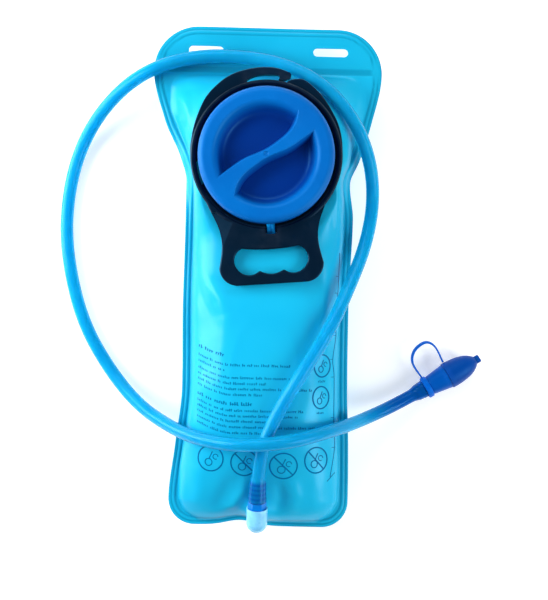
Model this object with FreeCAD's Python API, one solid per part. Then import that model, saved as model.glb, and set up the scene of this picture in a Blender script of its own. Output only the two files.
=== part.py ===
"""Two-litre hydration bladder lying on its back: welded film bag, screw lid in a
ring handle, outlet elbow, drinking hose and bite valve.

Millimetres. +Z is up, +Y runs from the outlet to the hanging tab, +X to the right
when the lid faces up. The origin is on the ground under the middle of the bag.
"""
import FreeCAD, Part
import math
import os

V = FreeCAD.Vector
UP = V(0, 0, 1)

# ---- bag --------------------------------------------------------------------------------
BAG_LENGTH = 380.0
FILM = 0.8
SEAM_Z = 28.0
TAB_CORNER = 34.0
BASE_CORNER = 20.0
SLOT_SPACING = 95.0
SLOT_LENGTH = 26.5
SLOT_WIDTH = 6.3
SLOT_Y = 172.4
# side edges of the welded outline: height along Y, left edge, right edge
SIDES = [
    (-170.0, -68.3, 68.7),
    (-130.0, -64.3, 68.2),
    (-85.0, -59.8, 66.4),
    (-20.0, -60.8, 65.8),
    (45.0, -60.2, 67.6),
    (72.0, -60.2, 64.8),
    (90.0, -65.0, 71.5),
    (118.0, -77.6, 79.8),
    (156.0, -87.0, 87.0),
]
# water space between the welds: y, left, right, rise above the seam, depth below it,
# flatness of the crown, and how bell-shaped the flank is
CAVITY = [
    (-184.0, -46.0, 46.0, 8.0, 8.0, 3.0, 0.6),
    (-178.0, -55.0, 56.0, 13.0, 13.0, 3.0, 0.6),
    (-168.0, -60.0, 60.5, 18.5, 20.0, 2.8, 0.5),
    (-150.0, -60.5, 61.5, 24.5, 27.0, 2.6, 0.5),
    (-115.0, -56.0, 60.5, 33.0, 29.5, 2.6, 0.5),
    (-80.0, -53.2, 60.0, 36.5, 30.0, 2.6, 0.5),
    (-35.0, -54.0, 59.4, 34.5, 30.0, 2.8, 0.5),
    (0.0, -54.5, 60.0, 29.5, 30.0, 3.2, 0.5),
    (35.0, -54.0, 61.0, 28.0, 30.0, 5.0, 0.5),
    (60.0, -54.0, 60.5, 29.5, 30.0, 10.0, 0.5),
    (88.0, -57.5, 64.0, 30.0, 30.0, 10.0, 0.6),
    (112.0, -67.0, 70.0, 30.0, 28.0, 5.0, 1.0),
    (132.0, -74.0, 75.5, 28.0, 22.0, 3.2, 1.25),
    (144.0, -74.0, 74.0, 18.0, 13.0, 2.4, 1.2),
    (150.0, -68.0, 68.0, 8.0, 7.0, 2.4, 1.0),
]
SECTION_STEPS = 16
OUTLINE_PULL = 30.0
# block that takes away everything below a height: width, length, thickness
GROUND_BLOCK = (400.0, 500.0, 50.0)

# ---- lid, neck and ring handle ------------------------------------------------------------
LID_CENTRE = V(0.7, 88.0, 0)
LID_TURN = 5.0
LID_Z = 54.0
SEAT_RADIUS = 57.2
NECK_BORE = 39.5
NECK_RADIUS = 42.0
NECK_TOP = 69.0
NECK_FLANGE_RADIUS = 47.0
NECK_FLANGE = 2.0
NECK_BEAD_RADIUS = 43.0
NECK_BEAD_LIFT = 0.1
NECK_BEAD_HEIGHT = 0.8
THREAD_PITCH = 4.0
THREAD_BASE_HALF = 1.0
THREAD_CREST_HALF = 0.5
THREAD_ROOTING = 0.3
NECK_THREAD_CREST = 43.8
NECK_THREAD_Z = 59.8
NECK_THREAD_TURNS = 1.5
CAP_RADIUS = 49.8
CAP_TOP = 76.0
CAP_BOTTOM = 57.8
CAP_SKIRT_BORE = 44.4
CAP_THREAD_CREST = 42.4
CAP_THREAD_DROP = 1.6
CAP_THREAD_START = 72.0
CAP_THREAD_TURNS = 1.25
CAP_RIM_ROUND = 5.0
CAP_BEAD_RADIUS = 48.4
CAP_EDGE_BEVEL = (0.4, 1.2)
CAP_PLUG_RADIUS = 39.0
CAP_PLUG_BOTTOM = 60.5
BOWL_MOUTH_RADIUS = 40.5
BOWL_FLOOR_RADIUS = 29.0
BOWL_FLOOR = 62.5
BOWL_SOFTNESS = 14.0
RIDGE_EDGE = [
    (-43.0, -19.0),
    (-34.1, -13.3),
    (-25.0, -7.6),
    (-15.8, -2.4),
    (-6.2, 1.0),
    (2.0, 4.3),
    (9.6, 8.9),
    (16.8, 14.2),
    (21.9, 20.8),
    (24.4, 28.4),
    (24.6, 33.6),
    (24.4, 43.0),
]
RIDGE_ROUND = 1.2
RIDGE_STEPS = 4
RIDGE_LEAN = 2.5
DIMPLE_RADIUS = 2.6
DIMPLE_DEPTH = 1.0
LEASH_GROOVE_RADIUS = 47.2
LEASH_GROOVE = (58.6, 60.8)
GASKET = (39.7, 43.4, 69.05, 71.35)
GASKET_SEAT_Z = 71.4
RING_BORE = 42.4
RING_PLATE = 3.0
LIP_INNER = 51.8
LIP_OUTER = 55.8
LIP_TOP = 65.0
LIP_BEVEL_IN = 1.8
LIP_BEVEL_OUT = 1.0
HANDLE_BOTTOM = 60.0
HANDLE_TOP = 65.0
HANDLE_EDGE_ROUND = 1.2
# right half of the handle's outline below the ring, mirrored for the left half
HANDLE_MIDDLE = -1.3
HANDLE_SIDE = [(46.0, -24.6), (41.0, -40.6), (37.0, -50.6), (35.3, -61.6), (36.4, -71.6), (38.3, -80.2)]
HANDLE_FOOT = -93.7
HANDLE_FOOT_CORNER = (34.0, -90.1)
HANDLE_FOOT_START = 24.0
GRIP_HALF = 27.0
GRIP_TOP_HALF = 21.0
GRIP_TOP = -66.8
GRIP_SAG = 1.6
GRIP_SHOULDER = -75.0
GRIP_CUSP = -83.4
GRIP_FOOT = -86.3
GRIP_LOW_CORNER = (25.2, -81.4)
SCALLOP = 17.6
GRIP_CORNER_ROUND = 1.8
FACET = [(23.0, -40.1), (35.4, -66.6), (42.5, -38.6)]
FACET_DROP = 3.6
HOOK_BOTTOM = 57.5
HOOK_TOP = 63.0
HOOK_ROUND = 0.8
# outer contour of the raised crescent, from nine o'clock to the tip of the hook
HOOK_OUTER = [
    (-54.6, -2.0),
    (-55.7, 5.5),
    (-54.9, 13.2),
    (-53.3, 20.5),
    (-50.5, 29.1),
    (-46.6, 37.7),
    (-40.9, 47.0),
    (-33.8, 53.9),
    (-26.0, 59.4),
    (-18.5, 62.6),
    (-9.4, 64.6),
    (1.7, 65.3),
    (9.8, 64.4),
    (15.5, 62.7),
    (19.9, 60.4),
]
HOOK_TIP = [(21.9, 57.8), (19.6, 55.4)]
HOOK_HEEL = [(15.9, 54.7), (12.4, 55.5)]
SLOT_RIGHT = [(13.3, 57.2), (12.2, 58.7)]
SLOT_UPPER = [(5.0, 59.5), (-0.8, 59.5), (-6.1, 58.5), (-9.9, 56.9)]
SLOT_LEFT = [(-10.9, 56.2), (-10.4, 55.2)]
# contour of the pad facing the hook's tip, down to three o'clock
PAD_OUTER = [
    (18.4, 53.0),
    (20.6, 54.5),
    (24.6, 55.1),
    (29.8, 54.6),
    (35.5, 50.7),
    (41.0, 44.8),
    (46.4, 37.0),
    (50.4, 29.4),
    (53.6, 21.8),
    (55.4, 14.3),
    (56.1, 2.5),
    (54.6, -9.0),
]
# corners of the hook and the pad inside the ring's lip
CRESCENT_ROOTS = [(-10.4, 49.8), (18.4, 45.8), (39.8, 0.0)]
LEASH_HOLE = (8.2, 9.8)
LEASH_HOLE_V = -52.4
LEASH_HOLE_ROUND = 2.0
LEASH_WIDTH = 6.2
LEASH_THICK = 1.5
LEASH_RISE = 0.3
LEASH_GAP = 0.25
LEASH_RING_WALL = 1.75
LEASH_BAR = (14.5, 4.6, 1.8)
LEASH_ANCHOR_V = -57.0

# ---- outlet and hose -----------------------------------------------------------------------
PORT_FOOT = V(0, -175.0, 42.5)
PORT_TILT = 14.0
PORT_FLANGE_RADIUS = 8.0
PORT_FLANGE = 2.4
PORT_STEM_RADIUS = 6.5
PORT_RISE = 13.0
PORT_HOLE_DEPTH = 12.0
BARREL_RADIUS = 7.7
BARREL_BACK = 4.2
BARREL_FRONT = 7.5
SOCKET_RADIUS = 4.6
SOCKET_BACK = 2.0
CUP_RADIUS = 7.0
CUP_DEPTH = 1.2
CHANNEL_RADIUS = 3.0
NOSE_RADIUS = 4.5
NOSE_BACK = 1.2
O_RING_WIRE = 0.61
O_RING_PLACE = 2.2
O_RING_GROOVE = (3.24, 1.0)
NOSE_BEVEL = 0.6
HEX_FLATS = 11.9
HEX_LENGTH = 6.4
HEX_GAP = 0.1
# turned-down corners of the hexagon: spread and bite beside its corners, height below its end
HEX_BEVEL = (3.0, 0.9, 4.1)
FITTING_BORE = 2.3
BARB_ROOT = 3.3
BARB_CREST = 4.8
BARB_PITCH = 3.6
# one barb along its pitch: foot of the steep side, its top, end of the crest
BARB_STEPS = (0.4, 0.6, 1.0)
BARB_TIP = 1.2
BARB_TIP_BEVEL = 0.3
OUTLET_BARBS = 4
VALVE_BARBS = 2
HOSE_RADIUS = 5.0
HOSE_BORE = 3.3
CUFF_RADIUS = 6.9
CUFF_NARROW = 6.2
CUFF_TAPER = 2.8
CUFF_SHOULDER = 1.0
CUFF_MARGIN = 1.3
FIT_GAP = 0.05

# ---- bite valve ------------------------------------------------------------------------------
VALVE_COLLAR = V(129.9, -82.4, 10.6)
VALVE_ANGLE = 30.5
COLLAR_THICK = 4.4
COLLAR_RADIUS = 8.5
COLLAR_BORE = 6.0
COLLAR_FIT = 0.15
COLLAR_STEP = 0.1
VALVE_LAST_RUN = 26.5
VALVE_CONE = (7.3, 9.7)
VALVE_CONE_LIP = (0.4, 1.2)
VALVE_CONE_END = 17.5
VALVE_SPIGOT_RADIUS = 8.0
VALVE_SPIGOT_END = 23.5
VALVE_MOUTH_BORE = 3.0
NOZZLE_PLUG_RADIUS = 4.6
NOZZLE_PLUG_LENGTH = 4.0
NOZZLE_RADIUS = 6.0
NOZZLE_END = 37.0
NOZZLE_FLANGE_RADIUS = 7.2
NOZZLE_FLANGE = 2.0
NOZZLE_FLANGE_BEVEL = 1.0
NOZZLE_WAIST = 5.4
NOZZLE_TIP_RADIUS = 3.6
NOZZLE_TIP = 2.0
NOZZLE_BORE = 2.9
NOZZLE_BORE_TAPER = 1.0
NOZZLE_WALL = 1.4
# slit through the nozzle's tip: width, gap, height and how far its foot lies below the tip
SLIT = (7.0, 0.3, 4.0, 3.0)
DUST_CAP_RADIUS = 10.4
DUST_CAP_RIM = 17.7
DUST_CAP_RIM_BEVEL = (0.5, 0.6)
# outer and inner profile of the dust cap: radius, distance along the valve
DUST_CAP_OUTER = [(10.4, 21.7), (9.6, 29.7), (7.2, 37.7), (3.2, 43.0)]
DUST_CAP_INNER = [(3.0, 40.4), (6.0, 36.7), (8.1, 28.7)]
DUST_CAP_CROWN = (43.4, 40.8)
TAB = (3.0, 6.4)
TAB_SPAN = (41.6, 47.0)
TAB_ROUND = 1.3
TETHER_WIDTH = 3.4
TETHER_THICK = 1.3
TETHER_ROOT_SINK = 0.6
# end of the strap on the dust cap: past its rim, out from its side
TETHER_END = (2.6, 0.35)
TETHER_LOOP = [(118.2, -64.0), (119.4, -54.2), (127.6, -47.6), (135.2, -50.6)]

# Hose route after its straight start and before its straight end.
HOSE_ROUTE = [
    (13.0, -99.0, 70.0),
    (33.0, -66.0, 71.5),
    (51.0, -36.0, 66.0),
    (65.0, -5.0, 51.0),
    (77.0, 25.0, 37.0),
    (83.0, 58.0, 31.0),
    (79.0, 90.0, 40.0),
    (65.0, 118.5, 52.0),
    (42.0, 143.5, 54.0),
    (12.0, 160.0, 45.0),
    (-21.0, 166.5, 37.0),
    (-54.0, 166.0, 36.0),
    (-85.0, 157.0, 37.8),
    (-113.0, 141.5, 25.0),
    (-138.0, 115.0, 8.5),
    (-152.0, 80.0, 5.0),
    (-156.5, 37.0, 5.2),
    (-151.0, -4.0, 5.0),
    (-139.0, -42.0, 5.2),
    (-119.0, -75.0, 5.4),
    (-95.0, -101.0, 15.0),
    (-69.0, -114.5, 36.0),
    (-45.0, -121.0, 60.0),
    (-15.0, -122.5, 80.6),
    (21.0, -119.5, 80.8),
    (47.0, -114.0, 64.0),
    (66.0, -110.5, 42.0),
    (82.0, -106.3, 23.5),
]
HOSE_FIRST_RUN = 35.0


def save(name, shape):
    """Write one sub-part; several separate pieces of one node stay separate solids."""
    if not shape.isValid():
        print("not valid:", name)
    shape.exportStep(os.path.join("parts", name + ".step"))
    print("%-18s %9.1f mm3  %d solid(s)" % (name, shape.Volume, len(shape.Solids)))


def cylinder(radius, low, high):
    return Part.makeCylinder(radius, high - low, V(0, 0, low))


def tube(bore, radius, low, high):
    return cylinder(radius, low, high).cut(cylinder(bore, low, high))


def spline(points, start=None, end=None):
    curve = Part.BSplineCurve()
    if start and end:
        curve.interpolate(Points=points, InitialTangent=start, FinalTangent=end)
    else:
        curve.interpolate(points)
    return curve.toShape()


def arc(a, b, c):
    return Part.Arc(a, b, c).toShape()


def prism(wire, low, high):
    face = Part.Face(wire)
    face.translate(V(0, 0, low))
    return face.extrude(V(0, 0, high - low))


def turned(profile):
    """Solid of revolution about Z from (radius, z) points joined by straight lines."""
    points = [V(r, 0, z) for r, z in profile]
    face = Part.Face(Part.makePolygon(points + points[:1]))
    return face.revolve(V(0, 0, 0), UP, 360)


# ---- bag ---------------------------------------------------------------------------------------
def bag_outline():
    half = BAG_LENGTH / 2
    left = [V(l, y, 0) for y, l, r in SIDES]
    right = [V(r, y, 0) for y, l, r in SIDES]
    along = V(0, OUTLINE_PULL, 0)
    bend = 1 - math.sqrt(0.5)
    edges = []
    for side, points in ((1, right), (-1, left)):
        base, top = points[0], points[-1]
        foot = V(base.x - side * BASE_CORNER, -half, 0)
        foot_mid = V(base.x - side * BASE_CORNER * bend, -half + BASE_CORNER * bend, 0)
        head = V(top.x - side * TAB_CORNER, half, 0)
        head_mid = V(top.x - side * TAB_CORNER * bend, half - TAB_CORNER * bend, 0)
        edges += [arc(foot, foot_mid, base), spline(points, along, along), arc(top, head_mid, head)]
    low_left, low_right = left[0].x + BASE_CORNER, right[0].x - BASE_CORNER
    high_left, high_right = left[-1].x + TAB_CORNER, right[-1].x - TAB_CORNER
    edges.append(Part.makeLine(V(low_left, -half, 0), V(low_right, -half, 0)))
    edges.append(Part.makeLine(V(high_left, half, 0), V(high_right, half, 0)))
    return Part.Wire(Part.__sortEdges__(edges))


def pillow(side, inset):
    """One half of the water space: side +1 above the seam, -1 below it."""
    sections = []
    last = len(CAVITY) - 1
    for index, (y, left, right, rise, depth, flat, bell) in enumerate(CAVITY):
        middle = (left + right) / 2
        half = (right - left) / 2 - inset
        height = (rise if side > 0 else depth) - inset
        if index == 0:
            y += inset
        if index == last:
            y -= inset
        points = []
        for step in range(SECTION_STEPS + 1):
            across = -math.cos(math.pi * step / SECTION_STEPS)
            lift = height * max(0.0, 1 - abs(across) ** flat) ** bell
            points.append(V(middle + half * across, y, SEAM_Z + side * lift))
        base = Part.makeLine(points[-1], points[0])
        sections.append(Part.Wire([spline(points), base]))
    return Part.makeLoft(sections, True, False)


def hanger_slots():
    half = (SLOT_LENGTH - SLOT_WIDTH) / 2
    radius = SLOT_WIDTH / 2
    cutters = []
    for side in (-1, 1):
        x = side * SLOT_SPACING / 2
        ends = [V(x - half, SLOT_Y, 0), V(x + half, SLOT_Y, 0)]
        cutters += [Part.makeCylinder(radius, SEAM_Z * 2, end) for end in ends]
        cutters.append(Part.makeBox(2 * half, SLOT_WIDTH, SEAM_Z * 2, V(x - half, SLOT_Y - radius, 0)))
    return cutters[0].fuse(cutters[1:])


def ground_block(top):
    width, length, thick = GROUND_BLOCK
    return Part.makeBox(width, length, thick, V(-width / 2, -length / 2, top - thick))


def water_space(side):
    """Inner space of one film, cut level at the lid seat or at the ground."""
    inner = pillow(side, FILM)
    if side > 0:
        seat = Part.makeCylinder(SEAT_RADIUS, LID_Z, LID_CENTRE + V(0, 0, LID_Z - FILM))
        return inner.cut(seat)
    return inner.cut(ground_block(FILM))


def front_film(space):
    outer = pillow(1, 0).cut(Part.makeCylinder(SEAT_RADIUS, LID_Z, LID_CENTRE + V(0, 0, LID_Z)))
    film = outer.fuse(prism(bag_outline(), SEAM_Z, SEAM_Z + FILM)).cut(space)
    film = film.cut(Part.makeCylinder(NECK_RADIUS, LID_Z, LID_CENTRE + V(0, 0, SEAM_Z + FILM)))
    return film.cut(hanger_slots()).cut(port_envelope())


def back_film(space):
    outer = pillow(-1, 0).cut(ground_block(0))
    film = outer.fuse(prism(bag_outline(), SEAM_Z - FILM, SEAM_Z)).cut(space)
    return film.cut(hanger_slots())


# ---- lid, built about the lid's own axis and placed afterwards ------------------------------------
def place_lid(shape):
    shape.rotate(V(0, 0, 0), UP, LID_TURN)
    shape.translate(LID_CENTRE)
    return shape


def thread(root, crest, low, turns, start):
    """Trapezoid thread whose root side is sunk into its wall."""
    sink = THREAD_ROOTING if root > crest else -THREAD_ROOTING
    helix = Part.makeHelix(THREAD_PITCH, THREAD_PITCH * turns, root)
    corners = [
        V(root + sink, 0, -THREAD_BASE_HALF),
        V(root, 0, -THREAD_BASE_HALF),
        V(crest, 0, -THREAD_CREST_HALF),
        V(crest, 0, THREAD_CREST_HALF),
        V(root, 0, THREAD_BASE_HALF),
        V(root + sink, 0, THREAD_BASE_HALF),
    ]
    profile = Part.makePolygon(corners + corners[:1])
    solid = Part.Wire(helix.Edges).makePipeShell([profile], True, True)
    solid.rotate(V(0, 0, 0), UP, start)
    solid.translate(V(0, 0, low))
    return solid


def neck_collar(space):
    flange_top = LID_Z - FILM
    flange = tube(NECK_BORE, NECK_FLANGE_RADIUS, flange_top - NECK_FLANGE, flange_top)
    wall = tube(NECK_BORE, NECK_RADIUS, flange_top - NECK_FLANGE, NECK_TOP)
    bead_low = LID_Z + RING_PLATE + NECK_BEAD_LIFT
    bead = tube(NECK_BORE, NECK_BEAD_RADIUS, bead_low, bead_low + NECK_BEAD_HEIGHT)
    ridge = thread(NECK_RADIUS, NECK_THREAD_CREST, NECK_THREAD_Z, NECK_THREAD_TURNS, 0)
    body = place_lid(wall.fuse([bead, ridge]))
    return body.fuse(place_lid(flange).common(space)).removeSplitter()


def ridge_contour(offset, z):
    """Area on the bowl side of one edge of the grip ridge, its edge moved towards the ridge by an offset."""
    points = []
    for index, (x, y) in enumerate(RIDGE_EDGE):
        before = RIDGE_EDGE[max(index - 1, 0)]
        after = RIDGE_EDGE[min(index + 1, len(RIDGE_EDGE) - 1)]
        along = unit(V(after[0] - before[0], after[1] - before[1], 0))
        points.append(V(x + along.y * offset, y - along.x * offset, z))
    far = 60.0
    corners = [points[-1], V(points[-1].x, far, z), V(-far, far, z), V(-far, points[0].y, z), points[0]]
    edges = [spline(points)] + [Part.makeLine(a, b) for a, b in zip(corners, corners[1:])]
    return Part.Wire(edges)


def ridge_side():
    """Everything on the bowl side of the ridge, whose wall leans back and is rounded at the top."""
    levels = [(-RIDGE_LEAN, BOWL_FLOOR - 1)]
    for step in range(RIDGE_STEPS + 1):
        angle = math.pi / 2 * step / RIDGE_STEPS
        levels.append((RIDGE_ROUND * (1 - math.cos(angle)), CAP_TOP - RIDGE_ROUND * (1 - math.sin(angle))))
    levels.append((RIDGE_ROUND, CAP_TOP + 2))
    return Part.makeLoft([ridge_contour(offset, z) for offset, z in levels], True, True)


def bowl_pocket():
    """Finger bowl with a soft mouth and a dished floor, ending at one side of the grip ridge."""
    floor = V(BOWL_FLOOR_RADIUS, 0, BOWL_FLOOR)
    mouth = V(BOWL_MOUTH_RADIUS, 0, CAP_TOP + 0.1)
    wall = spline([floor, mouth], V(BOWL_SOFTNESS, 0, 0), V(BOWL_SOFTNESS, 0, 1))
    lid = V(BOWL_MOUTH_RADIUS, 0, CAP_TOP + 1)
    corners = [mouth, lid, V(0, 0, CAP_TOP + 1), V(0, 0, BOWL_FLOOR), floor]
    edges = [wall] + [Part.makeLine(a, b) for a, b in zip(corners, corners[1:])]
    bowl = Part.Face(Part.Wire(edges)).revolve(V(0, 0, 0), UP, 360)
    return bowl.common(ridge_side())


def screw_cap():
    round_mid = CAP_RIM_ROUND * (1 - math.sqrt(0.5))
    shoulder = CAP_TOP - CAP_RIM_ROUND
    groove_low, groove_high = LEASH_GROOVE
    inset, rise = CAP_EDGE_BEVEL
    outer = [
        (0, CAP_PLUG_BOTTOM),
        (CAP_PLUG_RADIUS, CAP_PLUG_BOTTOM),
        (CAP_PLUG_RADIUS, GASKET_SEAT_Z),
        (CAP_SKIRT_BORE, GASKET_SEAT_Z),
        (CAP_SKIRT_BORE, CAP_BOTTOM),
        (CAP_BEAD_RADIUS, CAP_BOTTOM),
        (CAP_BEAD_RADIUS, groove_low),
        (LEASH_GROOVE_RADIUS, groove_low),
        (LEASH_GROOVE_RADIUS, groove_high),
        (CAP_RADIUS - inset, groove_high),
        (CAP_RADIUS, groove_high + rise),
        (CAP_RADIUS, shoulder),
    ]
    points = [V(r, 0, z) for r, z in outer]
    crown = V(CAP_RADIUS - CAP_RIM_ROUND, 0, CAP_TOP)
    rim = arc(points[-1], V(CAP_RADIUS - round_mid, 0, CAP_TOP - round_mid), crown)
    axis_top = V(0, 0, CAP_TOP)
    closing = [Part.makeLine(crown, axis_top), Part.makeLine(axis_top, points[0])]
    edges = [Part.makeLine(a, b) for a, b in zip(points, points[1:])] + [rim] + closing
    cap = Part.Face(Part.Wire(edges)).revolve(V(0, 0, 0), UP, 360)
    pocket = bowl_pocket()
    cap = cap.cut(pocket)
    pocket.rotate(V(0, 0, 0), UP, 180)
    cap = cap.cut(pocket)
    cap = cap.cut(Part.makeSphere(DIMPLE_RADIUS, V(0, 0, CAP_TOP + DIMPLE_RADIUS - DIMPLE_DEPTH)))
    low = NECK_THREAD_Z + THREAD_PITCH * CAP_THREAD_START / 360 - CAP_THREAD_DROP
    ridge = thread(CAP_SKIRT_BORE, CAP_THREAD_CREST, low, CAP_THREAD_TURNS, CAP_THREAD_START)
    return place_lid(cap.fuse(ridge))


def cap_gasket():
    bore, radius, low, high = GASKET
    return place_lid(tube(bore, radius, low, high))


def handle_outline():
    right = [V(x, y, 0) for x, y in HANDLE_SIDE]
    corner = V(HANDLE_FOOT_CORNER[0], HANDLE_FOOT_CORNER[1], 0)
    foot = V(HANDLE_FOOT_START, HANDLE_FOOT, 0)
    flip = FreeCAD.Matrix()
    flip.scale(-1, 1, 1)
    half = [spline(right), arc(right[-1], corner, foot)]
    other = [edge.transformGeometry(flip) for edge in half]
    foot_line = Part.makeLine(foot, V(-foot.x, foot.y, 0))
    top_line = Part.makeLine(right[0], V(-right[0].x, right[0].y, 0))
    return Part.Wire(Part.__sortEdges__(half + other + [foot_line, top_line]))


def grip_hole():
    """Finger opening: a sagging top edge, round ends and three finger scallops below."""
    top, sag = V(GRIP_TOP_HALF, GRIP_TOP, 0), V(0, GRIP_TOP - GRIP_SAG, 0)
    end_mid, end_low = V(GRIP_HALF, GRIP_SHOULDER, 0), V(GRIP_LOW_CORNER[0], GRIP_LOW_CORNER[1], 0)
    cusp = V(SCALLOP / 2, GRIP_CUSP, 0)
    scallop_mid = V(SCALLOP, GRIP_FOOT, 0)
    half = [arc(top, end_mid, end_low), arc(end_low, scallop_mid, cusp)]
    middle = [arc(cusp, V(0, GRIP_FOOT, 0), mirrored(cusp)), arc(top, sag, mirrored(top))]
    other = [
        arc(mirrored(top), mirrored(end_mid), mirrored(end_low)),
        arc(mirrored(end_low), mirrored(scallop_mid), mirrored(cusp)),
    ]
    wire = Part.Wire(Part.__sortEdges__(half + middle + other))
    hole = prism(wire, HANDLE_BOTTOM - 1, HANDLE_TOP + 1)
    return hole.makeFillet(GRIP_CORNER_ROUND, upright_edges(hole))


def upright_edges(shape):
    return [e for e in shape.Edges if e.BoundBox.ZLength > 5]


def mirrored(point):
    return V(-point.x, point.y, point.z)


def flat(points):
    return [V(x, y, 0) for x, y in points]


def rounded_slab(edges):
    """Flat piece of the crescent with its long outer edge rounded."""
    slab = prism(Part.Wire(edges), HOOK_BOTTOM, HOOK_TOP)
    top = [e for e in slab.Edges if e.BoundBox.ZMin > HOOK_TOP - 0.01]
    return slab.makeFillet(HOOK_ROUND, [max(top, key=lambda e: e.Length)])


def hook_crescent():
    """Raised crescent round the top of the ring: a sprung hook over a slot, and the pad facing its tip."""
    outer, pad = flat(HOOK_OUTER), flat(PAD_OUTER)
    tip, heel = flat(HOOK_TIP), flat(HOOK_HEEL)
    right, upper, left = flat(SLOT_RIGHT), flat(SLOT_UPPER), flat(SLOT_LEFT)
    root, pad_root, pad_end = flat(CRESCENT_ROOTS)
    hook = [
        spline(outer),
        arc(outer[-1], tip[0], tip[1]),
        arc(tip[1], heel[0], heel[1]),
        arc(heel[1], right[0], right[1]),
        spline([right[1]] + upper),
        arc(upper[-1], left[0], left[1]),
        Part.makeLine(left[1], root),
        Part.makeLine(root, outer[0]),
    ]
    inside = [pad[-1], pad_end, pad_root, pad[0]]
    facing = [spline(pad)] + [Part.makeLine(a, b) for a, b in zip(inside, inside[1:])]
    crescent = rounded_slab(hook).fuse(rounded_slab(facing))
    return crescent.cut(cylinder(LIP_INNER + LIP_BEVEL_OUT, HOOK_BOTTOM - 1, HOOK_TOP + 1))


def side_facet(side):
    """Sloping facet on one side of the neck between ring and handle."""
    inner, low, outer = FACET
    corners = [
        V(side * inner[0], inner[1], HANDLE_TOP),
        V(side * low[0], low[1], HANDLE_TOP),
        V(side * outer[0], outer[1], HANDLE_TOP - FACET_DROP),
    ]
    return Part.Face(Part.makePolygon(corners + corners[:1])).extrude(V(0, 0, 2 * FACET_DROP))


def handle_ring():
    lip = turned([
        (RING_BORE, LID_Z),
        (LIP_OUTER, LID_Z),
        (LIP_OUTER, LIP_TOP - LIP_BEVEL_OUT),
        (LIP_OUTER - LIP_BEVEL_OUT, LIP_TOP),
        (LIP_INNER + LIP_BEVEL_IN, LIP_TOP),
        (LIP_INNER, LIP_TOP - LIP_BEVEL_IN),
        (LIP_INNER, LID_Z + RING_PLATE),
        (RING_BORE, LID_Z + RING_PLATE),
    ])
    plate = prism(handle_outline(), HANDLE_BOTTOM, HANDLE_TOP)
    rims = [e for e in plate.Edges if e.BoundBox.ZLength < 0.01 and e.BoundBox.YMin < -40]
    plate = plate.makeFillet(HANDLE_EDGE_ROUND, rims).cut(grip_hole())
    grip_rims = [e for e in plate.Edges if is_grip_rim(e)]
    plate = plate.makeFillet(HANDLE_EDGE_ROUND, grip_rims)
    for side in (-1, 1):
        plate = plate.cut(side_facet(side))
    plate.translate(V(HANDLE_MIDDLE, 0, 0))
    plate = plate.cut(cylinder(LIP_INNER, HANDLE_BOTTOM - 1, HANDLE_TOP + 1))
    plate = plate.cut(cylinder(LIP_OUTER - LIP_BEVEL_OUT, LIP_TOP - LIP_BEVEL_OUT, LIP_TOP + 1))
    width, depth = LEASH_HOLE
    low = LID_Z + RING_PLATE
    hole = Part.makeBox(width, depth, LIP_TOP - low + 1, V(-width / 2, LEASH_HOLE_V - depth / 2, low))
    hole = hole.makeFillet(LEASH_HOLE_ROUND, upright_edges(hole))
    ring = lip.fuse([plate, hook_crescent()]).cut(hole)
    return place_lid(ring.removeSplitter())


def is_grip_rim(edge):
    box = edge.BoundBox
    inside = abs(box.XMin) < GRIP_HALF + 0.1 and abs(box.XMax) < GRIP_HALF + 0.1
    return box.ZLength < 0.01 and inside and GRIP_FOOT - 1 < box.YMin and box.YMax < GRIP_TOP + 3


def cap_leash():
    """Ring in the lid's groove, strap out to the plate's hole, and the bar held below the plate."""
    low = LEASH_GROOVE[0] + LEASH_RISE
    inner = LEASH_GROOVE_RADIUS + LEASH_GAP
    ring = tube(inner, inner + LEASH_RING_WALL, low, low + LEASH_THICK)
    out_length = -LEASH_ANCHOR_V - inner
    strap = Part.makeBox(LEASH_WIDTH, out_length, LEASH_THICK, V(-LEASH_WIDTH / 2, LEASH_ANCHOR_V, low))
    width, depth, height = LEASH_BAR
    bar_top = HANDLE_BOTTOM - LEASH_GAP
    near = -LIP_OUTER - 2 * LEASH_GAP
    bar = Part.makeBox(width, depth, height, V(-width / 2, near - depth, bar_top - height))
    return place_lid(ring.fuse([strap, bar]).removeSplitter())


# ---- outlet: built with the barrel along +Z, then laid along the port's direction -------------------
def port_normal():
    tilt = math.radians(PORT_TILT)
    return V(0, -math.sin(tilt), math.cos(tilt))


def barrel_direction():
    tilt = math.radians(PORT_TILT)
    return V(0, math.cos(tilt), math.sin(tilt))


def port_centre():
    return PORT_FOOT + port_normal() * PORT_RISE


def port_envelope():
    """Room that the port takes in the front film."""
    start = PORT_FOOT - port_normal() * PORT_HOLE_DEPTH
    return Part.makeCylinder(PORT_FLANGE_RADIUS, PORT_HOLE_DEPTH + PORT_RISE, start, port_normal())


def aim(shape, origin, direction):
    """Move a shape built along +Z at the origin so that it starts at a point along a direction."""
    shape.Placement = FreeCAD.Placement(origin, FreeCAD.Rotation(UP, direction)).multiply(shape.Placement)
    return shape


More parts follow.
